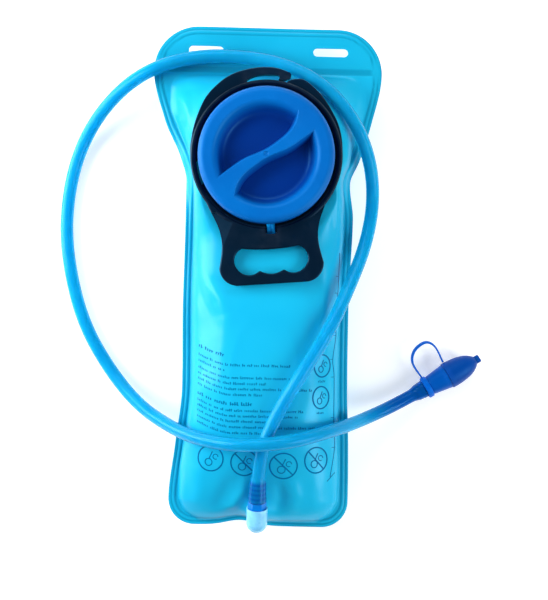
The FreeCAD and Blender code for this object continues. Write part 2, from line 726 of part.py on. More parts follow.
def outlet_port():
    barrel = cylinder(BARREL_RADIUS, -BARREL_BACK, BARREL_FRONT)
    barrel = barrel.fuse(Part.makeSphere(BARREL_RADIUS, V(0, 0, -BARREL_BACK)))
    socket = cylinder(SOCKET_RADIUS, -SOCKET_BACK, BARREL_FRONT + 1)
    cup = cylinder(CUP_RADIUS, BARREL_FRONT - CUP_DEPTH, BARREL_FRONT + 1)
    centre, normal = port_centre(), port_normal()
    flange_low = PORT_FOOT - normal * PORT_FLANGE
    flange = Part.makeCylinder(PORT_FLANGE_RADIUS, 2 * PORT_FLANGE, flange_low, normal)
    stem = Part.makeCylinder(PORT_STEM_RADIUS, PORT_RISE, PORT_FOOT, normal)
    channel = Part.makeCylinder(CHANNEL_RADIUS, PORT_RISE + PORT_FLANGE + 1, flange_low - normal, normal)
    body = aim(barrel, centre, barrel_direction()).fuse([stem, flange])
    body = body.cut(aim(socket, centre, barrel_direction()))
    return body.cut(aim(cup, centre, barrel_direction())).cut(channel).removeSplitter()


def barbs(start, count):
    """Barb ridges as (radius, z) points, each rising steeply and falling back slowly."""
    points = []
    for index in range(count):
        low = start + index * BARB_PITCH
        foot, top, back = BARB_STEPS
        points += [(BARB_ROOT, low + foot), (BARB_CREST, low + top), (BARB_CREST, low + back)]
        points.append((BARB_ROOT, low + BARB_PITCH - foot))
    return points


def hexagon(low, high):
    """Six-sided grip whose far corners are turned down."""
    corner = HEX_FLATS / math.sqrt(3)
    angles = [math.radians(60 * k) for k in range(7)]
    outline = [V(corner * math.cos(angle), corner * math.sin(angle), 0) for angle in angles]
    collar = prism(Part.makePolygon(outline), low, high)
    collar = collar.cut(cylinder(NOSE_RADIUS - 1, low - 1, high + 1))
    spread, bite, rise = HEX_BEVEL
    cone = Part.makeCone(corner + spread, corner - bite, rise + bite, V(0, 0, high - rise))
    return collar.common(cone.fuse(cylinder(corner + spread, low - 1, high - rise + 0.1)))


def hose_connector():
    hex_low = BARREL_FRONT - CUP_DEPTH + HEX_GAP
    hex_high = hex_low + HEX_LENGTH
    groove_radius, groove_half = O_RING_GROOVE
    end = hex_high + OUTLET_BARBS * BARB_PITCH + BARB_TIP
    body = turned([
        (FITTING_BORE, -NOSE_BACK),
        (NOSE_RADIUS - NOSE_BEVEL, -NOSE_BACK),
        (NOSE_RADIUS, -NOSE_BACK + NOSE_BEVEL),
        (NOSE_RADIUS, O_RING_PLACE - groove_half),
        (groove_radius, O_RING_PLACE - groove_half),
        (groove_radius, O_RING_PLACE + groove_half),
        (NOSE_RADIUS, O_RING_PLACE + groove_half),
        (NOSE_RADIUS, hex_high),
    ] + barbs(hex_high, OUTLET_BARBS) + [(BARB_ROOT - BARB_TIP_BEVEL, end), (FITTING_BORE, end)])
    return aim(body.fuse(hexagon(hex_low, hex_high)), port_centre(), barrel_direction())


def connector_o_ring():
    ring = Part.makeTorus(NOSE_RADIUS - O_RING_WIRE, O_RING_WIRE, V(0, 0, O_RING_PLACE))
    return aim(ring, port_centre(), barrel_direction())


# ---- hose ---------------------------------------------------------------------------------------
def hose_start():
    along = BARREL_FRONT - CUP_DEPTH + HEX_GAP + HEX_LENGTH
    return port_centre() + barrel_direction() * along


def valve_direction():
    angle = math.radians(VALVE_ANGLE)
    return V(math.cos(angle), math.sin(angle), 0)


def hose_end():
    return VALVE_COLLAR - valve_direction() * (COLLAR_THICK / 2)


def unit(vector):
    return vector / vector.Length


def hose_points():
    start, end = hose_start(), hose_end()
    lead_in = start + barrel_direction() * HOSE_FIRST_RUN
    lead_out = end - valve_direction() * VALVE_LAST_RUN
    return [start, lead_in] + [V(*point) for point in HOSE_ROUTE] + [lead_out, end]


def rounded_path(points, skip_first, skip_last):
    """Straight runs joined by arcs, each as large as its two runs allow, less a length at each end."""
    edges = []
    radii = []
    last = points[0] + unit(points[1] - points[0]) * skip_first
    finish = points[-1] + unit(points[-2] - points[-1]) * skip_last
    for before, corner, after in zip(points, points[1:], points[2:]):
        reach = 0.45 * min((before - corner).Length, (after - corner).Length)
        back, ahead = unit(before - corner), unit(after - corner)
        turn = math.pi - back.getAngle(ahead)
        radius = reach / math.tan(turn / 2)
        enter, leave = corner + back * reach, corner + ahead * reach
        middle = corner + unit(back + ahead) * (radius / math.cos(turn / 2) - radius)
        edges += [Part.LineSegment(last, enter).toShape(), Part.Arc(enter, middle, leave).toShape()]
        radii.append(radius)
        last = leave
    edges.append(Part.LineSegment(last, finish).toShape())
    return Part.Wire(edges), radii


def swept(path, radius, start, direction):
    section = Part.Wire(Part.Circle(start, direction, radius).toShape())
    return path.makePipeShell([section], True, True)


def cuff_length(barb_count):
    return barb_count * BARB_PITCH + CUFF_MARGIN + CUFF_TAPER


def hose_cuff(origin, direction, barb_count):
    """End of the hose, stretched over the barbs; direction points into the hose."""
    length = cuff_length(barb_count)
    reach = length - CUFF_TAPER
    bore = BARB_CREST + FIT_GAP
    outer = [(CUFF_RADIUS, 0), (CUFF_NARROW, reach - CUFF_SHOULDER), (HOSE_RADIUS, length)]
    return aim(turned(outer + [(HOSE_BORE, length), (bore, reach), (bore, 0)]), origin, direction)


def drinking_hose():
    points = hose_points()
    skips = cuff_length(OUTLET_BARBS), cuff_length(VALVE_BARBS)
    path, radii = rounded_path(points, *skips)
    start = path.OrderedVertexes[0].Point
    outer = swept(path, HOSE_RADIUS, start, barrel_direction())
    bore = swept(path, HOSE_BORE, start, barrel_direction())
    print("hose length %.0f mm, bend radii:" % (path.Length + sum(skips)))
    print(" ".join("%.0f" % radius for radius in radii))
    section = math.pi * HOSE_RADIUS ** 2
    print("hose volume / (section x length): %.4f" % (outer.Volume / (section * path.Length)))
    hose = outer.cut(bore)
    hose = hose.fuse(hose_cuff(points[0], barrel_direction(), OUTLET_BARBS))
    return hose.fuse(hose_cuff(points[-1], valve_direction() * -1, VALVE_BARBS))


# ---- bite valve: built along +Z from the middle of its collar groove ------------------------------
def place_valve(shape):
    return aim(shape, VALVE_COLLAR, valve_direction())


def valve_body():
    half = COLLAR_THICK / 2
    small, large = VALVE_CONE
    widen, lip = VALVE_CONE_LIP
    plug_end = VALVE_SPIGOT_END + NOZZLE_PLUG_LENGTH
    ridges = [(r, -half - z) for r, z in barbs(0, VALVE_BARBS)]
    end = -half - VALVE_BARBS * BARB_PITCH - BARB_TIP
    profile = [(FITTING_BORE, end), (BARB_ROOT - BARB_TIP_BEVEL, end)] + ridges[::-1]
    profile += [
        (BARB_ROOT, -half),
        (COLLAR_BORE - COLLAR_FIT, -half),
        (COLLAR_BORE - COLLAR_FIT, half + COLLAR_STEP),
        (small, half + COLLAR_STEP),
        (small + widen, half + lip),
        (large, VALVE_CONE_END),
        (VALVE_SPIGOT_RADIUS, VALVE_CONE_END),
        (VALVE_SPIGOT_RADIUS, VALVE_SPIGOT_END),
        (NOZZLE_PLUG_RADIUS, VALVE_SPIGOT_END),
        (NOZZLE_PLUG_RADIUS, plug_end),
        (VALVE_MOUTH_BORE, plug_end),
        (FITTING_BORE, VALVE_CONE_END),
    ]
    return place_valve(turned(profile))


def bite_nozzle():
    low = VALVE_SPIGOT_END + FIT_GAP
    socket = NOZZLE_PLUG_RADIUS + FIT_GAP
    socket_end = low + NOZZLE_PLUG_LENGTH
    body = turned([
        (socket, low),
        (NOZZLE_FLANGE_RADIUS, low),
        (NOZZLE_FLANGE_RADIUS, low + NOZZLE_FLANGE),
        (NOZZLE_RADIUS, low + NOZZLE_FLANGE + NOZZLE_FLANGE_BEVEL),
        (NOZZLE_WAIST, NOZZLE_END - NOZZLE_TIP),
        (NOZZLE_TIP_RADIUS, NOZZLE_END),
        (0, NOZZLE_END),
        (0, NOZZLE_END - NOZZLE_WALL),
        (NOZZLE_BORE, NOZZLE_END - NOZZLE_WALL - NOZZLE_BORE_TAPER),
        (NOZZLE_BORE, socket_end),
        (socket, socket_end),
    ])
    width, gap, height, depth = SLIT
    slit = Part.makeBox(width, gap, height, V(-width / 2, -gap / 2, NOZZLE_END - depth))
    return place_valve(body.cut(slit))


def dust_cap():
    """Bulb-shaped cover with a bevelled rim and a small pull tab."""
    rim = DUST_CAP_RIM
    bore = VALVE_SPIGOT_RADIUS + FIT_GAP
    bevel, rise = DUST_CAP_RIM_BEVEL
    outer = [V(radius, 0, z) for radius, z in DUST_CAP_OUTER]
    inner = [V(radius, 0, z) for radius, z in DUST_CAP_INNER]
    crown, hollow = [V(0, 0, z) for z in DUST_CAP_CROWN]
    side = DUST_CAP_RADIUS
    foot = [V(bore, 0, rim), V(side - bevel, 0, rim), V(side, 0, rim + rise), outer[0]]
    loop = [Part.makeLine(a, b) for a, b in zip(foot, foot[1:])]
    loop += [spline(outer), Part.makeLine(outer[-1], crown), Part.makeLine(crown, hollow)]
    loop += [Part.makeLine(hollow, inner[0]), spline(inner), Part.makeLine(inner[-1], foot[0])]
    shell = Part.Face(Part.Wire(loop)).revolve(V(0, 0, 0), UP, 360)
    thick, width = TAB
    low, high = TAB_SPAN
    tab = Part.makeBox(thick, width, high - low, V(-thick / 2, -width / 2, low))
    far = [e for e in tab.Edges if e.BoundBox.ZMin > high - 0.1 or e.BoundBox.ZLength > thick]
    return place_valve(shell.fuse(tab.makeFillet(TAB_ROUND, far)).removeSplitter())


def cap_tether():
    """Collar round the valve's groove and the thin strap looping to the dust cap's rim."""
    half = COLLAR_THICK / 2
    collar = place_valve(tube(COLLAR_BORE, COLLAR_RADIUS, -half + FIT_GAP, half))
    side = V(-valve_direction().y, valve_direction().x, 0)
    root = VALVE_COLLAR + side * (COLLAR_RADIUS - TETHER_ROOT_SINK)
    past, out = TETHER_END
    tip = VALVE_COLLAR + valve_direction() * (DUST_CAP_RIM + past) + side * (DUST_CAP_RADIUS + out)
    path = Part.Wire(spline([root] + [V(x, y, VALVE_COLLAR.z) for x, y in TETHER_LOOP] + [tip]))
    start = path.Edges[0].tangentAt(path.Edges[0].FirstParameter)
    across = V(-start.y, start.x, 0)
    corners = []
    for a, b in ((-1, -1), (1, -1), (1, 1), (-1, 1)):
        corners.append(root + across * (a * TETHER_THICK / 2) + UP * (b * TETHER_WIDTH / 2))
    strap = path.makePipeShell([Part.makePolygon(corners + corners[:1])], True, False)
    return collar.fuse(strap).removeSplitter()


def main():
    os.makedirs("parts", exist_ok=True)
    upper, lower = water_space(1), water_space(-1)
    save("front_film", front_film(upper))
    save("back_film", back_film(lower))
    save("neck_collar", neck_collar(upper))
    save("handle_ring", handle_ring())
    save("screw_cap", screw_cap())
    save("cap_gasket", cap_gasket())
    save("cap_leash", cap_leash())
    save("outlet_port", outlet_port())
    save("hose_connector", hose_connector())
    save("connector_o_ring", connector_o_ring())
    save("drinking_hose", drinking_hose())
    save("valve_body", valve_body())
    save("bite_nozzle", bite_nozzle())
    save("dust_cap", dust_cap())
    save("cap_tether", cap_tether())


main()
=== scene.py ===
"""Looks of the hydration bladder: inflated film, drinking hose, straps, print, materials and studio."""
import math

import bpy
import numpy as np
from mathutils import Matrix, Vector


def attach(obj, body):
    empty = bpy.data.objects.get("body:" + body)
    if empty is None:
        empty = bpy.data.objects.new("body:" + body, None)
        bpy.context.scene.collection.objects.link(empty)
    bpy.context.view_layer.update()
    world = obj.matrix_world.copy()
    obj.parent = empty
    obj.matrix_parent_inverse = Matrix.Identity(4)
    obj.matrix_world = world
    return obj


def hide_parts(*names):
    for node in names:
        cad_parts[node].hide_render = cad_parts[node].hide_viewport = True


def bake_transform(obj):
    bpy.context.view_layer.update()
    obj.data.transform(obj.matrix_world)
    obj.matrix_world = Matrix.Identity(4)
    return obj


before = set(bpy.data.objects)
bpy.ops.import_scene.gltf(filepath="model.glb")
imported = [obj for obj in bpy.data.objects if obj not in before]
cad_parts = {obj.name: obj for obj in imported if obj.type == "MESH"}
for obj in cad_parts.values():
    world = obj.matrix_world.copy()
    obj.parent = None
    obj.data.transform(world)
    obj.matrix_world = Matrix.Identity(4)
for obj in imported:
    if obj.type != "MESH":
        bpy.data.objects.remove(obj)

MM = 0.001
rng = np.random.default_rng(11)
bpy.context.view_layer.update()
# spacing of the outline's points and how many film points are measured against them at once
OUTLINE_STEP, POINTS_AT_ONCE = 0.5, 4000

# ---- bag, in millimetres; the same proportions as the CAD bag -----------------------------------------
SEAM_Z = 28.0
FILM = 0.8
# each film's inner face stands this far off the seam plane, and the back film this far off the ground
SKIN_GAP, GROUND_GAP = 0.03, 0.25
# y where each rounded corner starts, and its radius
TAB_CORNER_Y, TAB_CORNER = 156.0, 34.0
BASE_CORNER_Y, BASE_CORNER = -170.0, 20.0
# y, left edge, right edge
SIDES = [
    (-170, -68.3, 68.7), (-130, -64.3, 68.2), (-85, -59.8, 66.4), (-20, -60.8, 65.8), (45, -60.2, 67.6),
    (72, -60.2, 64.8), (90, -65, 71.5), (118, -77.6, 79.8), (156, -87, 87),
]
# y, left and right of the swollen part, front rise, back depth, flatness, steepness at the seam
SWELL = [
    (-188, -44, 44, 0, 0, 3, 0.6), (-184, -50, 50, 7, 7, 3, 0.6), (-178, -57, 57.5, 13, 13, 3, 0.6),
    (-168, -60.5, 61, 18.5, 20, 2.8, 0.5), (-150, -60.5, 61.5, 24.5, 27, 2.6, 0.5),
    (-115, -56, 60.5, 33, 29.5, 2.6, 0.5), (-80, -53.2, 60, 36.5, 30, 2.6, 0.5),
    (-35, -54, 59.4, 34.5, 30, 2.8, 0.5), (0, -54.5, 60, 29.5, 30, 3.2, 0.5), (35, -54, 61, 28, 30, 5, 0.5),
    (60, -54, 60.5, 29.5, 30, 10, 0.5), (88, -57.5, 64, 30, 30, 10, 0.6), (112, -67, 70, 30, 28, 5, 1),
    (132, -74, 75.5, 28, 22, 3.2, 1.25), (144, -74, 74, 18, 13, 2.4, 1.2), (150, -71, 71, 8, 7, 2.4, 1),
    (155, -70, 70, 0, 0, 2.4, 1), (170, -68, 68, 0, 0, 2.4, 1), (190, -46, 46, 0, 0, 2.4, 1),
]
# the swollen part keeps at least this far from the side edges, and creases stop at these two y
SIDE_WELD = 5.8
CREASE_ENDS = (-186.0, 154.0)
# the lid's middle, and how many degrees the handle and the lid's strap are turned about it
LID = (0.7, 88.0)
LID_TURN = 5.0
# the level seat under the lid: height, radius, and how far the film may rise beyond it over what distance
LID_SEAT, LID_SEAT_RADIUS = 54.0, 58.3
SEAT_RISE, SEAT_RUN = 9.0, 24.0
NECK_RADIUS = 41.0
SLOT_X, SLOT_Y, SLOT_LENGTH, SLOT_WIDTH = 47.5, 172.4, 26.5, 6.3
# low and high z of the shapes that cut the neck hole and the slots
NECK_CUT, SLOT_CUT = (40, 70), (20, 36)
# the twin weld lines: distances from the edge, half width of their colour and of their groove, depth
WELD_LINES = (2.3, 5.5)
WELD_MARK, WELD_GROOVE, WELD_DEPTH = 0.75, 0.6, 0.25
# the raised bead between them: distance from the edge, half width, height
WELD_BEAD = (3.9, 0.9, 0.32)
# the tab's cross weld: lower and upper y, depth
TAB_WELD = (156.0, 159.5)
TAB_WELD_DEPTH = 0.3
# the tab, welded flat all over, is this much of the way to the weld's colour
TAB_TINT = 0.24
# middle and half length of the waist, where the film bulges over its own weld, and how far it lifts
WAIST = (78.0, 20.0, 7.0)
# the outlet draws the film up: middle, radius, height
OUTLET_DOME = (-181.0, 10.0, 6.0)
# the base edge is drawn in beside the outlet: middle across, half width, distance
BASE_PULL = (-13.0, 15.0, 4.0)

# creases of the front film: points along it, height, width
FRONT_CREASES = [
    ([(-73, 143), (-64, 133), (-61, 120), (-57.5, 100), (-57, 78)], 2.2, 4.5),
    ([(-76, 124), (-70, 108), (-65, 92)], -1.4, 5.0),
    ([(-56, 66), (-48, 48), (-41, 30)], 1.2, 5.0),
    ([(-51, 8), (-46, 0), (-40, -7), (-31, -17), (-26, -30)], 2.7, 6.6),
    ([(-54, -4), (-47, -15), (-38, -30), (-33, -48)], -1.8, 5.5),
    ([(79, 152), (74, 144), (71, 134), (69, 120)], 2.4, 4.5),
    ([(64, 98), (62, 86), (60, 74)], 1.5, 4.0),
    ([(61, 63), (55.5, 50), (55.5, 40), (58, 26)], 1.3, 2.4),
    ([(57, 58), (52, 48), (51.5, 36)], -1.1, 2.6),
    ([(54, 60), (47.5, 51)], 0.9, 2.6),
    ([(47.5, 16), (47.2, -16), (47.3, -58)], 1.5, 6.0),
    ([(56, 4), (54, -24), (56, -50)], -0.9, 4.5),
    ([(-23, -177), (-18, -173), (-11, -161), (-9, -148)], 2.0, 4.0),
    ([(-33, -179), (-26, -164), (-18, -148)], -1.7, 5.5),
    ([(14, -178), (17.5, -165), (15.5, -152)], -2.2, 4.5),
    ([(26, -179), (29, -165), (25, -150)], 1.7, 5.0),
    ([(-50, -178), (-44, -160), (-46, -140)], 1.2, 7.0),
    ([(46, -180), (41, -164), (45, -146)], 1.0, 6.5),
    ([(0, -150), (0, -138)], -1.0, 9.0),
]

# ---- print on the film, in millimetres ---------------------------------------------------------------
# the ink's underside stands this far off the film, and its thickness
INK_LIFT, INK_THICK = 0.06, 0.05
# middle, radius, whether it is struck through, and how narrow it is
SIGNS = [
    ((45.7, -65.2), 8.2, False, 0.74), ((45.2, -88.6), 8.2, False, 0.74),
    ((-35.5, -135.7), 9.6, False, 0.98), ((-10.4, -137.9), 9.8, True, 1.0),
    ((18.7, -139.8), 9.8, True, 1.04), ((42.9, -135.6), 9.8, True, 0.86),
]
# the filling scale along the right side, slightly wavy with the film
SCALE_LINE = [
    (57.4, 19.3), (57.1, 1.6), (56.7, -11.0), (54.6, -29.5), (56.0, -42.8), (53.8, -60.6), (55.2, -73.8),
    (55.7, -104.1), (57.0, -127.0), (54.1, -149.3),
]
# the slanted stroke at the scale's foot, and the width of the scale's strokes and of its ticks
SCALE_FOOT = ((51.9, -152.3), (57.7, -146.2))
SCALE_WIDTH, TICK_WIDTH = 0.6, 0.4
# the caption under each of the first two signs: width, distance below the ring, letter height
CAPTION_WIDTH, CAPTION_DROP, CAPTION_TEXT = 5.2, 4.0, 1.2
# height above the level part, where the rows start and where they turn level
TEXT_LIFT, TEXT_LEFT, TEXT_BEND = 7.0, -46.0, -22.0
HEADING, BODY_TEXT = 1.75, 1.35
# y, width and letter height of the rows
TEXT_ROWS = [
    (-60.4, 21, HEADING), (-66.6, 68, BODY_TEXT), (-70.9, 20, BODY_TEXT), (-75.8, 68, BODY_TEXT),
    (-80.0, 50, BODY_TEXT), (-84.0, 85, BODY_TEXT), (-88.2, 48, BODY_TEXT), (-95.3, 40, HEADING),
    (-99.8, 78, BODY_TEXT), (-103.8, 74, BODY_TEXT), (-107.8, 52, BODY_TEXT), (-112.0, 90, BODY_TEXT),
    (-116.4, 52, BODY_TEXT),
]

# ---- hose, in millimetres -----------------------------------------------------------------------------
HOSE_START = (0.0, -165.725, 58.210)
HOSE_LEAD_IN = (0.0, -131.765, 66.677)
HOSE_LEAD_OUT = (105.171, -96.966, 10.6)
HOSE_END = (128.004, -83.517, 10.6)
HOSE_ROUTE = [
    (13.0, -99.0, 70.0), (33.0, -66.0, 71.5), (51.0, -36.0, 66.0), (65.0, -5.0, 51.0), (77.0, 25.0, 37.0),
    (83.0, 58.0, 31.0), (79.0, 90.0, 40.0), (65.0, 118.5, 52.0), (42.0, 143.5, 54.0), (12.0, 160.0, 45.0),
    (-21.0, 166.5, 37.0), (-54.0, 166.0, 36.0), (-85.0, 157.0, 37.8), (-113.0, 141.5, 25.0),
    (-138.0, 115.0, 8.5), (-152.0, 80.0, 5.0), (-156.5, 37.0, 5.2), (-151.0, -4.0, 5.0),
    (-139.0, -42.0, 5.2), (-119.0, -75.0, 5.4), (-95.0, -101.0, 15.0), (-69.0, -114.5, 36.0),
    (-45.0, -121.0, 60.0), (-15.0, -122.5, 80.6), (21.0, -119.5, 80.8), (47.0, -114.0, 64.0),
    (66.0, -110.5, 42.0), (82.0, -106.3, 23.5),
]
# outside and bore radius
HOSE_RADIUS, HOSE_BORE = 5.0, 3.3
# distance between the mesh tube's rings, and the number of sides
TUBE_STEP, TUBE_SIDES = 1.0, 32
# distance from the outlet end, outside radius: the end is stretched over four barbs
OUTLET_CUFF = [
    (0, 6.9), (3.2, 6.75), (3.8, 6.6), (6.8, 6.6), (7.4, 6.45), (10.4, 6.45), (11.0, 6.3), (14.2, 6.2),
    (16.5, 5.6), (18.5, 5.08), (21, 5.0),
]
VALVE_CUFF = [(0, 6.9), (3.2, 6.75), (3.9, 6.55), (7.0, 6.3), (9.0, 5.6), (11.3, 5.06), (13, 5.0)]
# how far from each end the hose is fully darkened, and where the darkening stops: at the outlet the barbed
# stem shows through the tube; at the valve the stem shows through and beyond it the darkening is painted
# shade
OUTLET_STEM = (15.0, 18.0)
VALVE_STEM_AND_PAINTED_SHADE = (20.0, 72.0)
BARB_PITCH = 3.6

# ---- straps of the lid and of the dust cap, in millimetres ------------------------------------------
# the ring that holds the lid's strap: inside and outside radius, low and high z, corner radius
LEASH_RING = (47.45, 49.2, 58.9, 60.4, 0.5)
# y from the lid's middle and z along the strap, from the ring down through the plate's hole
LEASH_TAIL = [(-48.0, 59.65), (-52.0, 60.0), (-54.8, 59.9), (-56.8, 59.15), (-59.0, 58.85)]
# width and thickness of each of its two ribs, their distance from its middle, and the thin web between them
LEASH_RIB, LEASH_RIB_X = (2.5, 1.45), 1.85
LEASH_WEB, LEASH_WEB_DROP = (2.4, 0.8), 0.2
# the bar held under the plate: width and thickness, and its half length, y and z
LEASH_BAR, LEASH_BAR_PLACE = (4.5, 1.75), (7.2, -58.6, 58.85)
# the valve's collar on the hose's end, and the direction of the valve in degrees from x
VALVE_COLLAR = (129.9, -82.4, 10.6)
VALVE_ANGLE = 30.5
# the ring in the valve's groove: inside and outside radius, low and high place on its axis, corner radius
TETHER_RING = (6.0, 8.55, -2.15, 2.2, 0.7)
# the strap: its root beside the collar, x and y along its loop, its tip ahead of and beside the collar
TETHER_ROOT = 7.6
TETHER_LOOP = [(118.2, -64.0), (119.4, -54.2), (127.6, -47.6), (135.2, -50.6)]
TETHER_TIP = (20.3, 10.9)
# its width and thickness, and how many degrees it leans over halfway round its loop
TETHER_TAPE, TETHER_TILT = (3.2, 1.35), 32.0

# ---- colours: the darker and the lighter tone of each material, as linear red, green and blue -----------
FILM_TONES = (0.006, 0.56, 0.86), (0.012, 0.64, 0.92)
WELD_TONE = (0.0, 0.32, 0.55)
HOSE_TONES = (0.003, 0.50, 0.86), (0.008, 0.57, 0.90)
# the barbs' colour, which also serves as painted shade on the hose before the valve
BARB_AND_PAINTED_SHADE_TONE = (0.0, 0.15, 0.58)
INK_TONES = (0.0, 0.11, 0.28), (0.0, 0.15, 0.36)
LEASH_TONES = (0.0, 0.34, 0.92), (0.0, 0.40, 0.96)
TETHER_TONES = (0.0, 0.09, 0.50), (0.0, 0.12, 0.58)
LID_TONES = (0.0, 0.10, 0.40), (0.0, 0.125, 0.46)
RING_TONES = (0.0003, 0.002, 0.008), (0.0005, 0.004, 0.014)
NECK_TONES = (0.0, 0.16, 0.42), (0.0, 0.20, 0.50)
GASKET_TONES = (0.50, 0.56, 0.60), (0.60, 0.66, 0.70)
ELBOW_TONES = (0.17, 0.54, 0.84), (0.24, 0.64, 0.90)
FITTING_TONES = (0.0, 0.16, 0.60), (0.0, 0.20, 0.68)
VALVE_TONES = (0.0, 0.065, 0.34), (0.0, 0.085, 0.42)
DUST_CAP_TONES = (0.0, 0.04, 0.25), (0.0, 0.055, 0.32)
NOZZLE_TONES = (0.0, 0.10, 0.42), (0.0, 0.14, 0.52)
SEAL_TONES = (0.006, 0.006, 0.007), (0.012, 0.012, 0.013)
FLOOR_TONES = (0.86, 0.87, 0.88), (0.90, 0.905, 0.91)
# the lid's bowls: painted shade, a darker colour that stands in for the shade in them, and the heights in
# millimetres between which it comes in
LID_BOWL_PAINTED_SHADE = ((0.0, 0.026, 0.24), 62.5, 73.0)
# the tint of the reflections on strongly coloured plastics
BLUE_GLINT = (0.12, 0.60, 1.0, 1)
NAVY_GLINT = (0.08, 0.45, 0.9, 1)
# the share of the film's look that is light coming through it
FILM_GLOW = 0.32

# ---- studio, in metres ---------------------------------------------------------------------------------
CAMERA_PLACE, CAMERA_TURN = (0.0088, -0.0173, 0.850), 1.38
# focal length and height of the picture plane, both in millimetres
CAMERA_LENS, CAMERA_SENSOR = 64.5, 36
FLOOR_HALF, FLOOR_Z = 3.0, -0.0004
FLOOR_GLOW = 0.34
# name, place, point it is aimed at, width and height, watts
LIGHTS = [
    ("key", (-0.85, 0.16, 0.40), (0, 0, 0.03), (0.5, 0.9), 15),
    ("back", (-0.10, 1.0, 0.75), (0, 0, 0.02), (1.2, 0.5), 7),
    ("fill", (1.2, -0.5, 0.9), (0, 0, 0.02), (0.9, 0.9), 18),
]
SKY_COLOR, SKY_STRENGTH = (0.93, 0.96, 1.0, 1), 0.30


# ---- small helpers ---------------------------------------------------------------------------------
def curve_through(y, rows, column):
    """Smooth curve through one column of a table, without overshoot."""
    xs = np.array([row[0] for row in rows], float)
    vs = np.array([row[column] for row in rows], float)
    h = np.diff(xs)
    slope = np.diff(vs) / h
    tangent = np.zeros(len(xs))
    for i in range(1, len(xs) - 1):
        a, b = slope[i - 1], slope[i]
        if a * b > 0:
            w1, w2 = 2 * h[i] + h[i - 1], h[i] + 2 * h[i - 1]
            tangent[i] = (w1 + w2) / (w1 / a + w2 / b)
    y = np.clip(np.asarray(y, float), xs[0], xs[-1])
    k = np.clip(np.searchsorted(xs, y) - 1, 0, len(h) - 1)
    t = (y - xs[k]) / h[k]
    return (
        (2 * t**3 - 3 * t**2 + 1) * vs[k]
        + (t**3 - 2 * t**2 + t) * h[k] * tangent[k]
        + (3 * t**2 - 2 * t**3) * vs[k + 1]
        + (t**3 - t**2) * h[k] * tangent[k + 1]
    )


def catmull(points, steps):
    """Smooth line through points, with this many steps between each pair."""
    p = np.array(points, float)
    p = np.concatenate([[2 * p[0] - p[1]], p, [2 * p[-1] - p[-2]]])
    line = []
    for a, b, c, d in zip(p, p[1:], p[2:], p[3:]):
        for t in np.arange(steps) / steps:
            line.append(0.5 * (2 * b + (c - a) * t + (2 * a - 5 * b + 4 * c - d) * t**2
                               + (3 * b - a - 3 * c + d) * t**3))
    return np.array(line + [p[-2]])


def smoothstep(x, low, high):
    t = np.clip((x - low) / (high - low), 0, 1)
    return t * t * (3 - 2 * t)


def bump(distance, width):
    return np.exp(-((distance / width) ** 2))


def new_piece(name, vertices, faces, material, smooth=True):
    """A mesh object in the scene, from vertices in millimetres."""
    mesh = bpy.data.meshes.new(name)
    mesh.from_pydata([tuple(v) for v in np.asarray(vertices, float) * MM], [], faces)
    mesh.polygons.foreach_set("use_smooth", [smooth] * len(mesh.polygons))
    mesh.update()
    piece = bpy.data.objects.new(name, mesh)
    bpy.context.scene.collection.objects.link(piece)
    if material is not None:
        mesh.materials.append(material)
    return piece


def grid_faces(rows, columns, first=0, flip=False, close=False):
    """Four-sided faces of a grid of points; close joins its last column to its first."""
    faces = []
    last = columns if close else columns - 1
    for i in range(rows - 1):
        for j in range(last):
            a = first + i * columns + j
            b = first + i * columns + (j + 1) % columns
            quad = (a, b, b + columns, a + columns)
            faces.append(quad[::-1] if flip else quad)
    return faces


def joined(name, parts, material, smooth=True):
    """One piece out of several lists of vertices and faces."""
    vertices, faces, count = [], [], 0
    for v, f in parts:
        vertices.append(v)
        faces += [tuple(i + count for i in face) for face in f]
        count += len(v)
    return new_piece(name, np.concatenate(vertices), faces, material, smooth)


def store_value(piece, name, values):
    """Keep one number for each vertex, for the material to read."""
    attribute = piece.data.attributes.new(name, "FLOAT", "POINT")
    attribute.data.foreach_set("value", values.astype(np.float32))


def apply_modifiers(piece):
    bpy.context.view_layer.update()
    graph = bpy.context.evaluated_depsgraph_get()
    mesh = bpy.data.meshes.new_from_object(piece.evaluated_get(graph))
    piece.modifiers.clear()
    old = piece.data
    piece.data = mesh
    mesh.name = piece.name
    bpy.data.meshes.remove(old)


def cut(piece, *tools):
    """Cut the tools' shapes out of a piece, and delete the tools."""
    for tool in tools:
        modifier = piece.modifiers.new("cut", "BOOLEAN")
        modifier.operation = "DIFFERENCE"
        modifier.solver = "EXACT"
        modifier.object = tool
    apply_modifiers(piece)
    for tool in tools:
        mesh = tool.data
        bpy.data.objects.remove(tool)
        bpy.data.meshes.remove(mesh)


def prism_tool(points, low, high):
    """An upright prism over a flat outline, to cut with."""
    n = len(points)
    vertices = [(x, y, low) for x, y in points] + [(x, y, high) for x, y in points]
    faces = [tuple(range(n))[::-1], tuple(range(n, 2 * n))]
    faces += [(i, (i + 1) % n, n + (i + 1) % n, n + i) for i in range(n)]
    return new_piece("tool", vertices, faces, None, smooth=False)


# ---- film shape --------------------------------------------------------------------------------------
def outline_x(y, side):
    """Left (side 1) or right (side 2) edge of the bag at y, corners rounded."""
    x = curve_through(y, SIDES, side)
    sign = -1 if side == 1 else 1
    for start, radius, way in ((TAB_CORNER_Y, TAB_CORNER, 1), (BASE_CORNER_Y, BASE_CORNER, -1)):
        past = np.clip(way * (y - start), 0, radius)
        x = x - sign * (radius - np.sqrt(radius**2 - past**2))
    return x


def swell_at(y):
    """Left and right edge of the swollen part at y."""
    left, right = curve_through(y, SWELL, 1), curve_through(y, SWELL, 2)
    left = np.maximum(left, outline_x(y, 1) + SIDE_WELD)
    right = np.minimum(right, outline_x(y, 2) - SIDE_WELD)
    return left, right


def lid_distance(x, y):
    return np.hypot(x - LID[0], y - LID[1])


